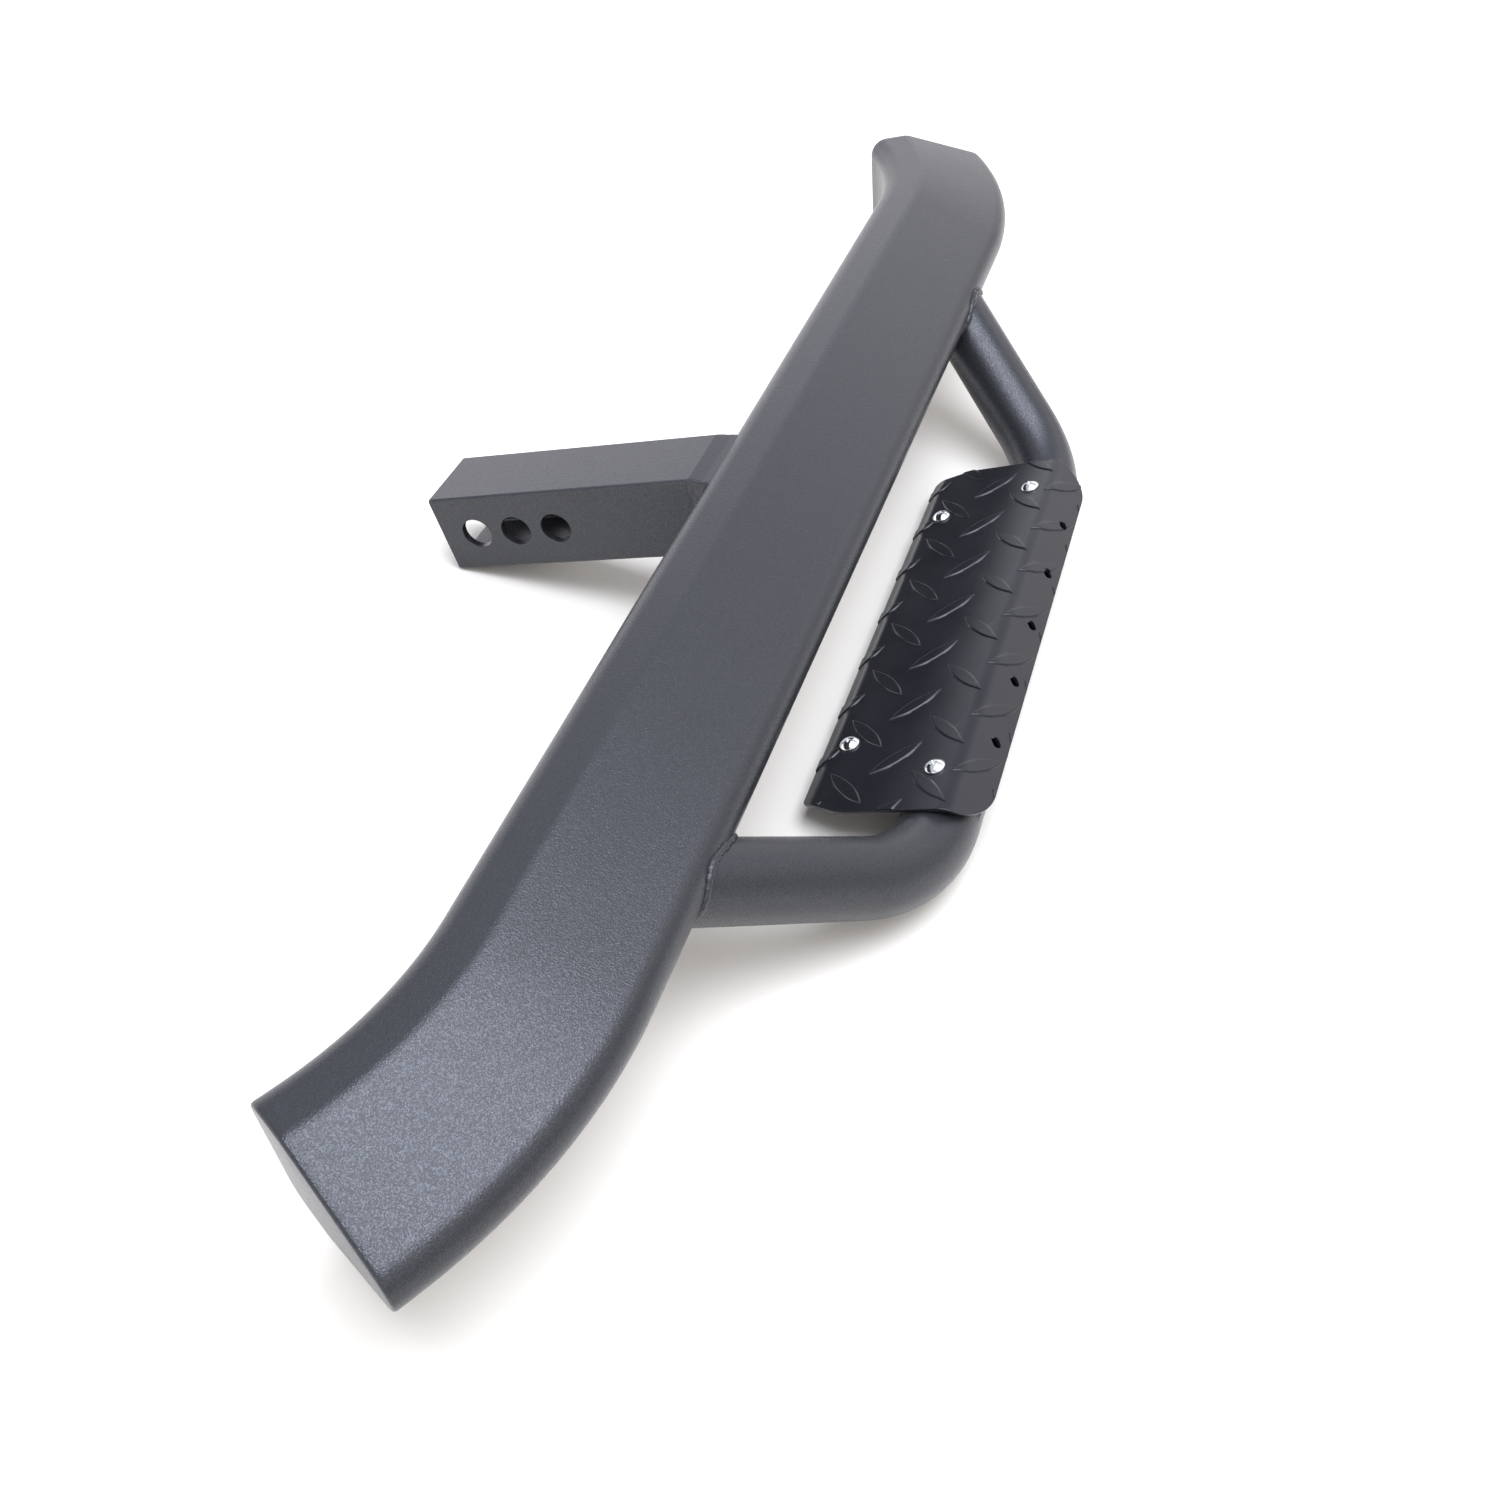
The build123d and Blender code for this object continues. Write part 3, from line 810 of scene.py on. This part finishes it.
def square_line(shape, width, height, radius, steps):
    """Closed rounded rectangle in the XY plane."""
    corners = [
        (width / 2, height / 2),
        (-width / 2, height / 2),
        (-width / 2, -height / 2),
        (width / 2, -height / 2),
    ]
    return rounded_line(shape, corners, [radius] * 4, steps)


def shank_shape(bar, shank, weld):
    """Square tube with pin holes, cut off along the bar's back and sloped under the weld."""
    free_end = shank.hole_pitch + shank.end_margin
    upright = Matrix.Translation((0, free_end, 0)) @ Matrix.Rotation(pi / 2, 4, "X")
    tubes = []
    for side, radius, margin in (
        (shank.side, shank.corner_radius, 0.0),
        (shank.side - 2 * shank.wall, shank.inner_radius, shank.wall),
    ):
        tube = bmesh.new()
        edges = square_line(tube, side, side, radius, TUBE_CORNER_STEPS)
        lifted = upright @ Matrix.Translation((0, 0, -margin))
        bmesh.ops.transform(tube, matrix=lifted, verts=ends_of(edges))
        prism(tube, edges, (0, -free_end - bar.reach - 2 * margin, 0))
        tubes.append(tube)
    shape = carve(*tubes)
    for vert in shape.verts:
        if vert.co.y < 0:
            vert.co.y = back_reach(bar, vert.co.z)
    holes = bmesh.new()
    for index in (-1, 0, 1):
        across = Matrix.Translation((0, index * shank.hole_pitch, 0)) @ Matrix.Rotation(pi / 2, 4, "Y")
        add_rod(holes, shank.hole_diameter / 2, 2 * shank.side, PIN_HOLE_FACETS, across)
    shape = carve(shape, holes)
    soften(shape, shank.rim, CREASE, ROUNDING_STEPS)
    slope = bmesh.new()
    hinge = Vector((0, back_reach(bar, shank.side / 2) + weld.shank_leg, shank.side / 2))
    leaning = Matrix.Translation(hinge) @ Matrix.Rotation(atan2(weld.shank_dip, weld.shank_leg), 4, "X")
    over = Matrix.Translation((0, -shank.side / 2, shank.side / 2)) @ Matrix.Scale(shank.side, 4)
    bmesh.ops.create_cube(slope, size=1.0, matrix=leaning @ over @ Matrix.Diagonal((2, 1, 1, 1)))
    return carve(shape, slope)


class HITCHSTEP_OT_shank(bpy.types.Operator):
    """Builds the square receiver shank with its pin holes"""

    bl_idname = "hitch_step.shank"
    bl_label = "Receiver Shank"

    def execute(self, context):
        scene = context.scene
        shape = shank_shape(scene.hitch_bar, scene.hitch_shank, scene.hitch_weld)
        coat = material_of(frame_coat, scene.hitch_finish)
        piece = add_piece("shank_tube", shape, coat, ["receiver_shank"], CREASE)
        weigh_normals(piece)
        return {"FINISHED"}


# Step hoop

def hoop_shape(bar, hoop):
    """Round tube bent into a wide U, cut to the bar's nose."""
    corner, root = hoop_points(bar, hoop)
    leg = (root - corner).normalized()
    bend = leg.angle(Vector((1, 0, 0)))
    sideways = Vector((0, leg.y, leg.z)).normalized()
    tangent = hoop.bend_radius * tan(bend / 2)
    run_end = Vector((corner.x - tangent, corner.y, corner.z))
    shape = bmesh.new()
    start = Matrix.Translation((0, corner.y, corner.z)) @ Matrix.Rotation(pi / 2, 4, "Y")
    circle = bmesh.ops.create_circle(shape, segments=HOOP_FACETS, radius=hoop.diameter / 2, matrix=start)
    edges = line_from(circle["verts"][0])
    edges = lengthen(shape, edges, (run_end.x, 0, 0))
    centre = run_end + sideways * hoop.bend_radius
    edges = sweep_round(shape, edges, centre, Vector((1, 0, 0)).cross(sideways), bend, BEND_STEPS)
    edges = lengthen(shape, edges, root - (corner + leg * tangent))
    bmesh.ops.contextual_create(shape, geom=edges)
    mirror_half(shape)
    return carve(shape, bar_shape(bar))


class HITCHSTEP_OT_hoop(bpy.types.Operator):
    """Builds the bent round tube that carries the plate"""

    bl_idname = "hitch_step.hoop"
    bl_label = "Step Hoop"

    def execute(self, context):
        scene = context.scene
        shape = hoop_shape(scene.hitch_bar, scene.hitch_hoop)
        # The hoop's coat carries a band of painted shade under the plate's outer strip.
        coat = material_of(hoop_coat_and_painted_shade, scene.hitch_finish, scene.hitch_hoop, scene.hitch_plate)
        add_piece("hoop_tube", shape, coat, ["step_hoop"], CREASE)
        return {"FINISHED"}


# Weld beads

def unevenness(spot, along, weld):
    """Share by which a bead swells at a spot, from ripples along it and from lumps."""
    ripple = sin(2 * pi * along / weld.ripple_pitch)
    lump = noise.noise(spot * weld.lump_rate)
    return weld.ripple_depth * ripple + weld.lump_depth * lump


def shank_weld_shape(bar, shank, weld):
    """Bead round the shank: it falls with the shank's top, swells at the other sides and enters the bar."""
    shape = bmesh.new()
    tilted = Matrix.Rotation(bar.tilt - pi / 2, 4, "X")
    profile = [(weld.shank_leg + weld.run_in, -weld.run_in, -weld.run_in)]
    for index in range(BEAD_SLOPE_STEPS + 1):
        part = index / BEAD_SLOPE_STEPS
        top = weld.shank_skin - weld.shank_dip * part
        beside = weld.shank_skin + weld.shank_height * part * part
        profile.append((weld.shank_leg * (1 - part), top, beside))
    profile.append((-weld.shank_root / 2, -weld.shank_dip, weld.shank_height / 2))
    profile.append((-weld.shank_root, -weld.shank_dip - weld.run_in, -weld.run_in))
    rings = []
    for distance, top, beside in profile:
        width = shank.side + 2 * beside
        height = shank.side / cos(bar.tilt) + top + beside
        edges = square_line(shape, width, height, shank.corner_radius, TUBE_CORNER_STEPS)
        long_edges = [edge for edge in edges if edge.calc_length() > shank.side / 2]
        bmesh.ops.subdivide_edges(shape, edges=long_edges, cuts=BEAD_SIDE_CUTS)
        edges = line_from(edges[0].verts[0])
        centred = Matrix.Translation((0, (beside - top) / 2, 0))
        placed = Matrix.Translation((0, back_reach(bar, 0) + distance, 0)) @ tilted @ centred
        bmesh.ops.transform(shape, matrix=placed, verts=ends_of(edges))
        for vert in ends_of(edges):
            if abs(vert.co.x) > shank.side / 2:
                lump = noise.noise(vert.co * weld.side_lump_rate)
                vert.co.x *= 1 + weld.lump_depth * weld.side_lumps * lump
        rings.append(edges)
    join_rings(shape, rings)
    return shape


def hoop_weld_shape(bar, hoop, weld, surface, side):
    """Bead along the line where one leg meets the bar's nose."""
    corner, root = hoop_points(bar, hoop)
    corner.x *= side
    root.x *= side
    leg = (root - corner).normalized()
    first = leg.orthogonal().normalized()
    second = leg.cross(first)
    places = []
    for index in range(BEAD_RINGS):
        angle = 2 * pi * index / BEAD_RINGS
        outward = first * cos(angle) + second * sin(angle)
        start = corner + (root - corner) * weld.cast_start + outward * hoop.diameter / 2
        hit, normal, _, _ = surface.ray_cast(start, leg)
        if hit is None:
            raise RuntimeError("a line along the hoop's leg misses the bar")
        places.append((hit, (outward + normal).normalized()))
    shape = bmesh.new()
    rings = []
    along = 0.0
    for index, (spot, outward) in enumerate(places):
        before = places[index - 1][0]
        after = places[(index + 1) % BEAD_RINGS][0]
        forward = (after - before).normalized()
        outward = (outward - forward * outward.dot(forward)).normalized()
        across = forward.cross(outward)
        along += (spot - before).length
        radius = weld.hoop_radius * (1 + unevenness(spot, along, weld))
        turned = Matrix((outward, across, forward)).transposed().to_4x4()
        ring = bmesh.ops.create_circle(
            shape, segments=BEAD_FACETS, radius=radius, matrix=Matrix.Translation(spot) @ turned
        )
        rings.append(line_from(ring["verts"][0]))
    join_rings(shape, rings)
    return shape


class HITCHSTEP_OT_welds(bpy.types.Operator):
    """Builds the weld beads of the shank and of the hoop's legs"""

    bl_idname = "hitch_step.welds"
    bl_label = "Weld Beads"

    def execute(self, context):
        scene = context.scene
        bar = scene.hitch_bar
        coat = material_of(frame_coat, scene.hitch_finish)
        shape = shank_weld_shape(bar, scene.hitch_shank, scene.hitch_weld)
        add_piece("shank_bead", shape, coat, ["shank_weld"], SHANK_BEAD_CREASE)
        solid = bar_shape(bar)
        surface = BVHTree.FromBMesh(solid)
        solid.free()
        for name, side in SIDES:
            shape = hoop_weld_shape(bar, scene.hitch_hoop, scene.hitch_weld, surface, side)
            nodes = ["hoop_weld_" + name]
            add_piece("hoop_bead_" + name, shape, coat, nodes, HOOP_BEAD_CREASE)
        return {"FINISHED"}


# Tread plate

def folds_of(plate):
    """Side, end of the flat, angle and developed end of the lip and of the outer strip."""
    lip_corner = plate.inner_reach - plate.lip_width * cos(plate.lip_angle)
    folds = []
    for side, corner, angle, width in (
        (1, lip_corner, plate.lip_angle, plate.lip_width),
        (-1, plate.fold_offset, plate.strip_angle, plate.strip_width),
    ):
        tangent = plate.bend_radius * tan(angle / 2)
        flat_end = corner - tangent
        folds.append((side, flat_end, angle, flat_end + plate.bend_radius * angle + width - tangent))
    return folds


def folded(plate, folds, across, height):
    """Place on the folded sheet of a point across its flat blank, at a height over the underside."""
    for side, flat_end, angle, _ in folds:
        past = side * across - flat_end
        if past > 0:
            swing = min(past / plate.bend_radius, angle)
            rest = past - swing * plate.bend_radius
            radius = plate.bend_radius + height
            out = radius * sin(swing) + rest * cos(swing)
            down = plate.bend_radius - radius * cos(swing) + rest * sin(swing)
            return side * (flat_end + out), -down
    return across, height


def blank_line(shape, plate, inset):
    """Closed outline of the flat blank, drawn in from its edges by an inset."""
    (_, _, _, inner), (_, _, _, outer) = folds_of(plate)
    half = plate.length / 2 - inset
    tip = half - plate.inner_cut_depth
    cut = inner - inset - plate.inner_cut_length
    corners = [
        (tip, inner - inset),
        (-tip, inner - inset),
        (-half, cut),
        (-half, inset - outer),
        (half, inset - outer),
        (half, cut),
    ]
    radii = [
        plate.inner_tip_radius,
        plate.inner_tip_radius,
        plate.inner_blend_radius,
        plate.outer_corner,
        plate.outer_corner,
        plate.inner_blend_radius,
    ]
    return rounded_line(shape, corners, radii, BLANK_CORNER_STEPS)


def screw_places(screw):
    """Places of the screws on the plate's main face."""
    return [
        (side * spread / 2, across)
        for spread, across in ((screw.outer_spread, 0.0), (screw.inner_spread, screw.inner_offset))
        for side in (-1, 1)
    ]


def lug_shape(plate):
    """One pointed oval lug along x, with sloping sides, standing over the flat blank."""
    half = plate.lug_length / 2
    rise = plate.lug_width / 2
    radius = (half * half + rise * rise) / (2 * rise)
    shape = bmesh.new()
    for side in (1, -1):
        tip = shape.verts.new((side * half, 0, plate.thickness - plate.lug_sink))
        bmesh.ops.spin(
            shape,
            geom=[tip],
            cent=(0, side * (rise - radius), 0),
            axis=(0, 0, 1),
            angle=2 * asin(half / radius),
            steps=LUG_SIDE_STEPS,
        )
    bmesh.ops.remove_doubles(shape, verts=shape.verts, dist=MERGE_DISTANCE)
    foot = shape.edges[:]
    level = lengthen(shape, foot, (0, 0, plate.lug_sink))
    top = lengthen(shape, level, (0, 0, plate.lug_height))
    narrowed = (
        1 - 2 * plate.lug_shoulder / plate.lug_length,
        1 - 2 * plate.lug_shoulder / plate.lug_width,
        1,
    )
    bmesh.ops.scale(shape, verts=ends_of(top), vec=narrowed)
    for edges in (foot, top):
        bmesh.ops.contextual_create(shape, geom=edges)
    bmesh.ops.recalc_face_normals(shape, faces=shape.faces)
    round_edges(shape, top, plate.lug_crown, ROUNDING_STEPS)
    return shape


def lug_matrices(plate):
    """Places of the lugs on the flat blank, in lines that lean left and right by turns."""
    matrices = []
    for line in range(-plate.lug_outward, plate.lug_inward):
        odd = line % 2
        lean = Matrix.Rotation(-plate.lug_angle if odd else plate.lug_angle, 4, "Z")
        across = plate.lug_first + line * plate.lug_column_pitch
        for row in range(plate.lug_rows):
            steps = row - plate.lug_rows // 2 + odd / 2
            along = steps * plate.lug_row_pitch - plate.lug_shift
            matrices.append(Matrix.Translation((along, across, 0)) @ lean)
    return matrices


def lug_field(plate, screw):
    """All the lugs of the flat blank, cut off along its edge and kept clear of the screws."""
    field = bmesh.new()
    stamp(field, lug_shape(plate), lug_matrices(plate))
    inside = bmesh.new()
    prism(inside, blank_line(inside, plate, plate.lug_inset), (0, 0, 2 * plate.thickness))
    field = combine(field, inside, "INTERSECT")
    seats = bmesh.new()
    for x, y in screw_places(screw):
        spot = Matrix.Translation((x, y, 0))
        add_rod(seats, screw.seat_radius, 4 * plate.thickness, SEAT_FACETS, spot)
    return carve(field, seats)


def slot_tools(plate):
    """Rounded prisms that cut the drain slots in the flat blank."""
    tools = bmesh.new()
    _, flat_end, angle, _ = folds_of(plate)[1]
    bent = plate.bend_radius * (angle - tan(angle / 2))
    for index in range(plate.slot_count):
        radius = plate.slot_width * plate.slot_round
        edges = square_line(tools, plate.slot_length, plate.slot_width, radius, SLOT_CORNER_STEPS)
        along = (index - (plate.slot_count - 1) / 2) * plate.slot_pitch
        spot = Vector((along, -flat_end - bent - plate.slot_distance, -plate.thickness))
        turned = Matrix.Translation(spot) @ Matrix.Rotation(plate.slot_lean, 4, "Z")
        bmesh.ops.transform(tools, matrix=turned, verts=ends_of(edges))
        prism(tools, edges, (0, 0, 4 * plate.thickness))
    return tools


def fold_blank(shape, plate):
    """Folds the flat blank along its lip and its outer strip."""
    folds = folds_of(plate)
    for side, flat_end, angle, _ in folds:
        for index in range(plate.bend_steps + 1):
            across = flat_end + plate.bend_radius * angle * index / plate.bend_steps
            bmesh.ops.bisect_plane(
                shape,
                geom=all_of(shape),
                dist=MERGE_DISTANCE,
                plane_co=(0, side * across, 0),
                plane_no=(0, 1, 0),
            )
    for vert in shape.verts:
        y, z = folded(plate, folds, vert.co.y, vert.co.z)
        vert.co = (vert.co.x, y, z)


def plate_shape(plate, screw):
    """Tread sheet in the plate's own frame: cut out, embossed, punched and folded."""
    shape = bmesh.new()
    prism(shape, blank_line(shape, plate, 0.0), (0, 0, plate.thickness))
    soften(shape, plate.rim, BLANK_EDGE, FINE_ROUNDING_STEPS)
    shape = combine(shape, lug_field(plate, screw), "UNION")
    shape = carve(shape, slot_tools(plate))
    fold_blank(shape, plate)
    return shape


class HITCHSTEP_OT_plate(bpy.types.Operator):
    """Builds the folded tread plate with its lugs and drain slots"""

    bl_idname = "hitch_step.plate"
    bl_label = "Tread Plate"

    def execute(self, context):
        scene = context.scene
        plate = scene.hitch_plate
        shape = plate_shape(plate, scene.hitch_screw)
        shape.transform(plate_matrix(scene.hitch_bar, scene.hitch_hoop, plate))
        coat = material_of(tread_coat, scene.hitch_finish)
        piece = add_piece("tread_sheet", shape, coat, ["step_plate"], CREASE)
        weigh_normals(piece)
        return {"FINISHED"}


# Screws and tabs

def screw_shape(screw):
    """Domed head with a cross recess, standing on the plane z nought."""
    radius = screw.head_diameter / 2
    dome = screw.head_height - screw.head_rim
    ball = (radius * radius + dome * dome) / (2 * dome)
    shape = bmesh.new()
    crown = shape.verts.new((0, 0, screw.head_height))
    centre = (0, 0, screw.head_height - ball)
    spun = bmesh.ops.spin(
        shape, geom=[crown], cent=centre, axis=(0, 1, 0), angle=asin(radius / ball), steps=HEAD_DOME_STEPS
    )
    rim = verts_of(spun["geom_last"])[0]
    foot = shape.verts.new((radius, 0, 0))
    shape.edges.new((rim, foot))
    middle = shape.verts.new((0, 0, 0))
    shape.edges.new((foot, middle))
    bmesh.ops.spin(
        shape,
        geom=all_of(shape),
        cent=(0, 0, 0),
        axis=(0, 0, 1),
        angle=2 * pi,
        steps=HEAD_FACETS,
        use_merge=True,
    )
    tidy(shape)
    for index in (0, 1):
        blade = bmesh.new()
        size = Matrix.Diagonal((screw.recess_length, screw.recess_width, 2 * screw.recess_depth, 1))
        turned = Matrix.Translation((0, 0, screw.head_height)) @ Matrix.Rotation(index * pi / 2, 4, "Z")
        bmesh.ops.create_cube(blade, size=1.0, matrix=turned @ size)
        lower = [vert for vert in blade.verts if vert.co.z < screw.head_height]
        bmesh.ops.scale(blade, verts=lower, vec=(screw.recess_taper, screw.recess_taper, 1.0))
        shape = carve(shape, blade)
    soften(shape, screw.recess_edge, HEAD_EDGE, FINE_ROUNDING_STEPS)
    return shape


class HITCHSTEP_OT_screws(bpy.types.Operator):
    """Builds the plate's domed screws and coats the tabs under it"""

    bl_idname = "hitch_step.screws"
    bl_label = "Screws and Tabs"

    def execute(self, context):
        scene = context.scene
        screw = scene.hitch_screw
        plate = scene.hitch_plate
        on_plate = plate_matrix(scene.hitch_bar, scene.hitch_hoop, plate)
        heads = bmesh.new()
        places = []
        for index, (x, y) in enumerate(screw_places(screw)):
            turned = Matrix.Rotation(screw.first_turn + screw.turn_step * index, 4, "Z")
            places.append(on_plate @ Matrix.Translation((x, y, plate.thickness)) @ turned)
        stamp(heads, screw_shape(screw), places)
        plating = material_of(screw_plating, scene.hitch_finish)
        add_piece("screw_heads", heads, plating, ["plate_screws"], HEAD_CREASE)
        coat = material_of(frame_coat, scene.hitch_finish)
        for name in ("plate_tab_left", "plate_tab_right"):
            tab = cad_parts[name]
            tab.data.materials.clear()
            tab.data.materials.append(coat)
        return {"FINISHED"}


# Stage

def floor_paint(graph, stage):
    """Matt warm white paint, seen from above only."""
    patches = graph.clouds(graph.object_place(), stage.floor_patch, SOFT_DETAIL)
    colour = graph.blend(stage.floor_shading * patches, stage.floor, stage.floor_shade)
    sockets = {"Base Color": colour, "Roughness": stage.floor_roughness}
    painted = graph.node("ShaderNodeBsdfPrincipled", {}, sockets)
    clear = graph.node("ShaderNodeBsdfTransparent", {}, {})
    under = graph.node("ShaderNodeNewGeometry", {}, {}, "Backfacing")
    return graph.node("ShaderNodeMixShader", {}, {0: under, 1: painted, 2: clear})


def light_world(world, stage):
    """Pale walls, darker near the floor and in front, under a dimmer and cooler ceiling."""
    graph = Graph(world)
    facing = graph.node("ShaderNodeTexCoord", {}, {}, "Generated")
    back = graph.node("ShaderNodeSeparateXYZ", {}, {"Vector": facing}, "Y")
    height = graph.node("ShaderNodeSeparateXYZ", {}, {"Vector": facing}, "Z")
    overhead = graph.step(height, *CEILING_BAND)
    low = 1 - graph.step(height, *LOW_BAND)
    front = 1 - graph.step(back, *FRONT_BAND)
    level = stage.walls + (stage.ceiling - stage.walls) * overhead
    strength = level * (1 - stage.low_shade * low) * (1 - stage.front_shade * front)
    tint = graph.blend(overhead, stage.wall_tint, stage.ceiling_tint)
    sky = graph.node("ShaderNodeBackground", {}, {"Color": tint, "Strength": strength})
    graph.node("ShaderNodeOutputWorld", {}, {"Surface": sky})


class HITCHSTEP_OT_stage(bpy.types.Operator):
    """Sets up the floor, the light and the camera"""

    bl_idname = "hitch_step.stage"
    bl_label = "Stage"

    def execute(self, context):
        scene = context.scene
        stage = scene.hitch_stage
        shank = scene.hitch_shank
        shape = bmesh.new()
        bmesh.ops.create_grid(shape, x_segments=1, y_segments=1, size=stage.floor_size)
        edge = Vector((0, shank.hole_pitch + shank.end_margin, -shank.side / 2 - stage.floor_gap))
        shape.transform(Matrix.Translation(edge) @ Matrix.Rotation(stage.floor_tilt, 4, "X"))
        mesh = bpy.data.meshes.new("floor_sheet")
        shape.to_mesh(mesh)
        shape.free()
        mesh.materials.append(material_of(floor_paint, stage))
        floor = bpy.data.objects.new("floor_sheet", mesh)
        scene.collection.objects.link(floor)

        scene.world = bpy.data.worlds.new("pale_room")
        light_world(scene.world, stage)
        scene.view_settings.view_transform = "Standard"

        box = bpy.data.lights.new("soft_box", "AREA")
        box.size = stage.box_size
        box.energy = stage.box_power
        box.color = stage.ceiling_tint
        lamp = bpy.data.objects.new("soft_box", box)
        lamp.location = stage.box_place
        lamp.rotation_mode = "QUATERNION"
        lamp.rotation_quaternion = (Vector(stage.box_aim) - lamp.location).to_track_quat("-Z", "Y")
        scene.collection.objects.link(lamp)

        lens = bpy.data.cameras.new("camera")
        lens.sensor_width = SENSOR_SIDE
        lens.lens = stage.lens
        camera = bpy.data.objects.new("camera", lens)
        camera.location = stage.camera_place
        camera.rotation_mode = "QUATERNION"
        forward = Vector(stage.camera_aim) - Vector(stage.camera_place)
        level_view = forward.to_track_quat("-Z", "Y")
        camera.rotation_quaternion = level_view @ Quaternion((0, 0, 1), stage.camera_roll)
        scene.collection.objects.link(camera)
        scene.camera = camera
        return {"FINISHED"}


class HITCHSTEP_PT_pieces(bpy.types.Panel):
    """Buttons that build the step's pieces"""

    bl_idname = "HITCHSTEP_PT_pieces"
    bl_label = "Hitch Step"
    bl_space_type = "VIEW_3D"
    bl_region_type = "UI"
    bl_category = "Hitch Step"

    def draw(self, context):
        for operator in operators:
            self.layout.operator(operator.bl_idname)
        for name in property_groups:
            group = getattr(context.scene, name)
            box = self.layout.box()
            box.label(text=group.bl_rna.description)
            for field in group.bl_rna.properties:
                if field.identifier not in ("name", "rna_type"):
                    box.prop(group, field.identifier)


property_groups = {
    "hitch_bar": HITCHSTEP_PG_bar,
    "hitch_shank": HITCHSTEP_PG_shank,
    "hitch_hoop": HITCHSTEP_PG_hoop,
    "hitch_weld": HITCHSTEP_PG_weld,
    "hitch_plate": HITCHSTEP_PG_plate,
    "hitch_screw": HITCHSTEP_PG_screw,
    "hitch_finish": HITCHSTEP_PG_finish,
    "hitch_stage": HITCHSTEP_PG_stage,
}
operators = (
    HITCHSTEP_OT_bar,
    HITCHSTEP_OT_shank,
    HITCHSTEP_OT_hoop,
    HITCHSTEP_OT_welds,
    HITCHSTEP_OT_plate,
    HITCHSTEP_OT_screws,
    HITCHSTEP_OT_stage,
)


def register():
    for name, group in property_groups.items():
        bpy.utils.register_class(group)
        setattr(bpy.types.Scene, name, PointerProperty(type=group))
    for operator in operators:
        bpy.utils.register_class(operator)
    bpy.utils.register_class(HITCHSTEP_PT_pieces)


def unregister():
    bpy.utils.unregister_class(HITCHSTEP_PT_pieces)
    for operator in reversed(operators):
        bpy.utils.unregister_class(operator)
    for name, group in property_groups.items():
        delattr(bpy.types.Scene, name)
        bpy.utils.unregister_class(group)


def main():
    """Builds every piece and the stage."""
    register()
    bpy.ops.hitch_step.bar()
    bpy.ops.hitch_step.shank()
    bpy.ops.hitch_step.hoop()
    bpy.ops.hitch_step.welds()
    bpy.ops.hitch_step.plate()
    bpy.ops.hitch_step.screws()
    bpy.ops.hitch_step.stage()


if __name__ == "__main__":
    main()
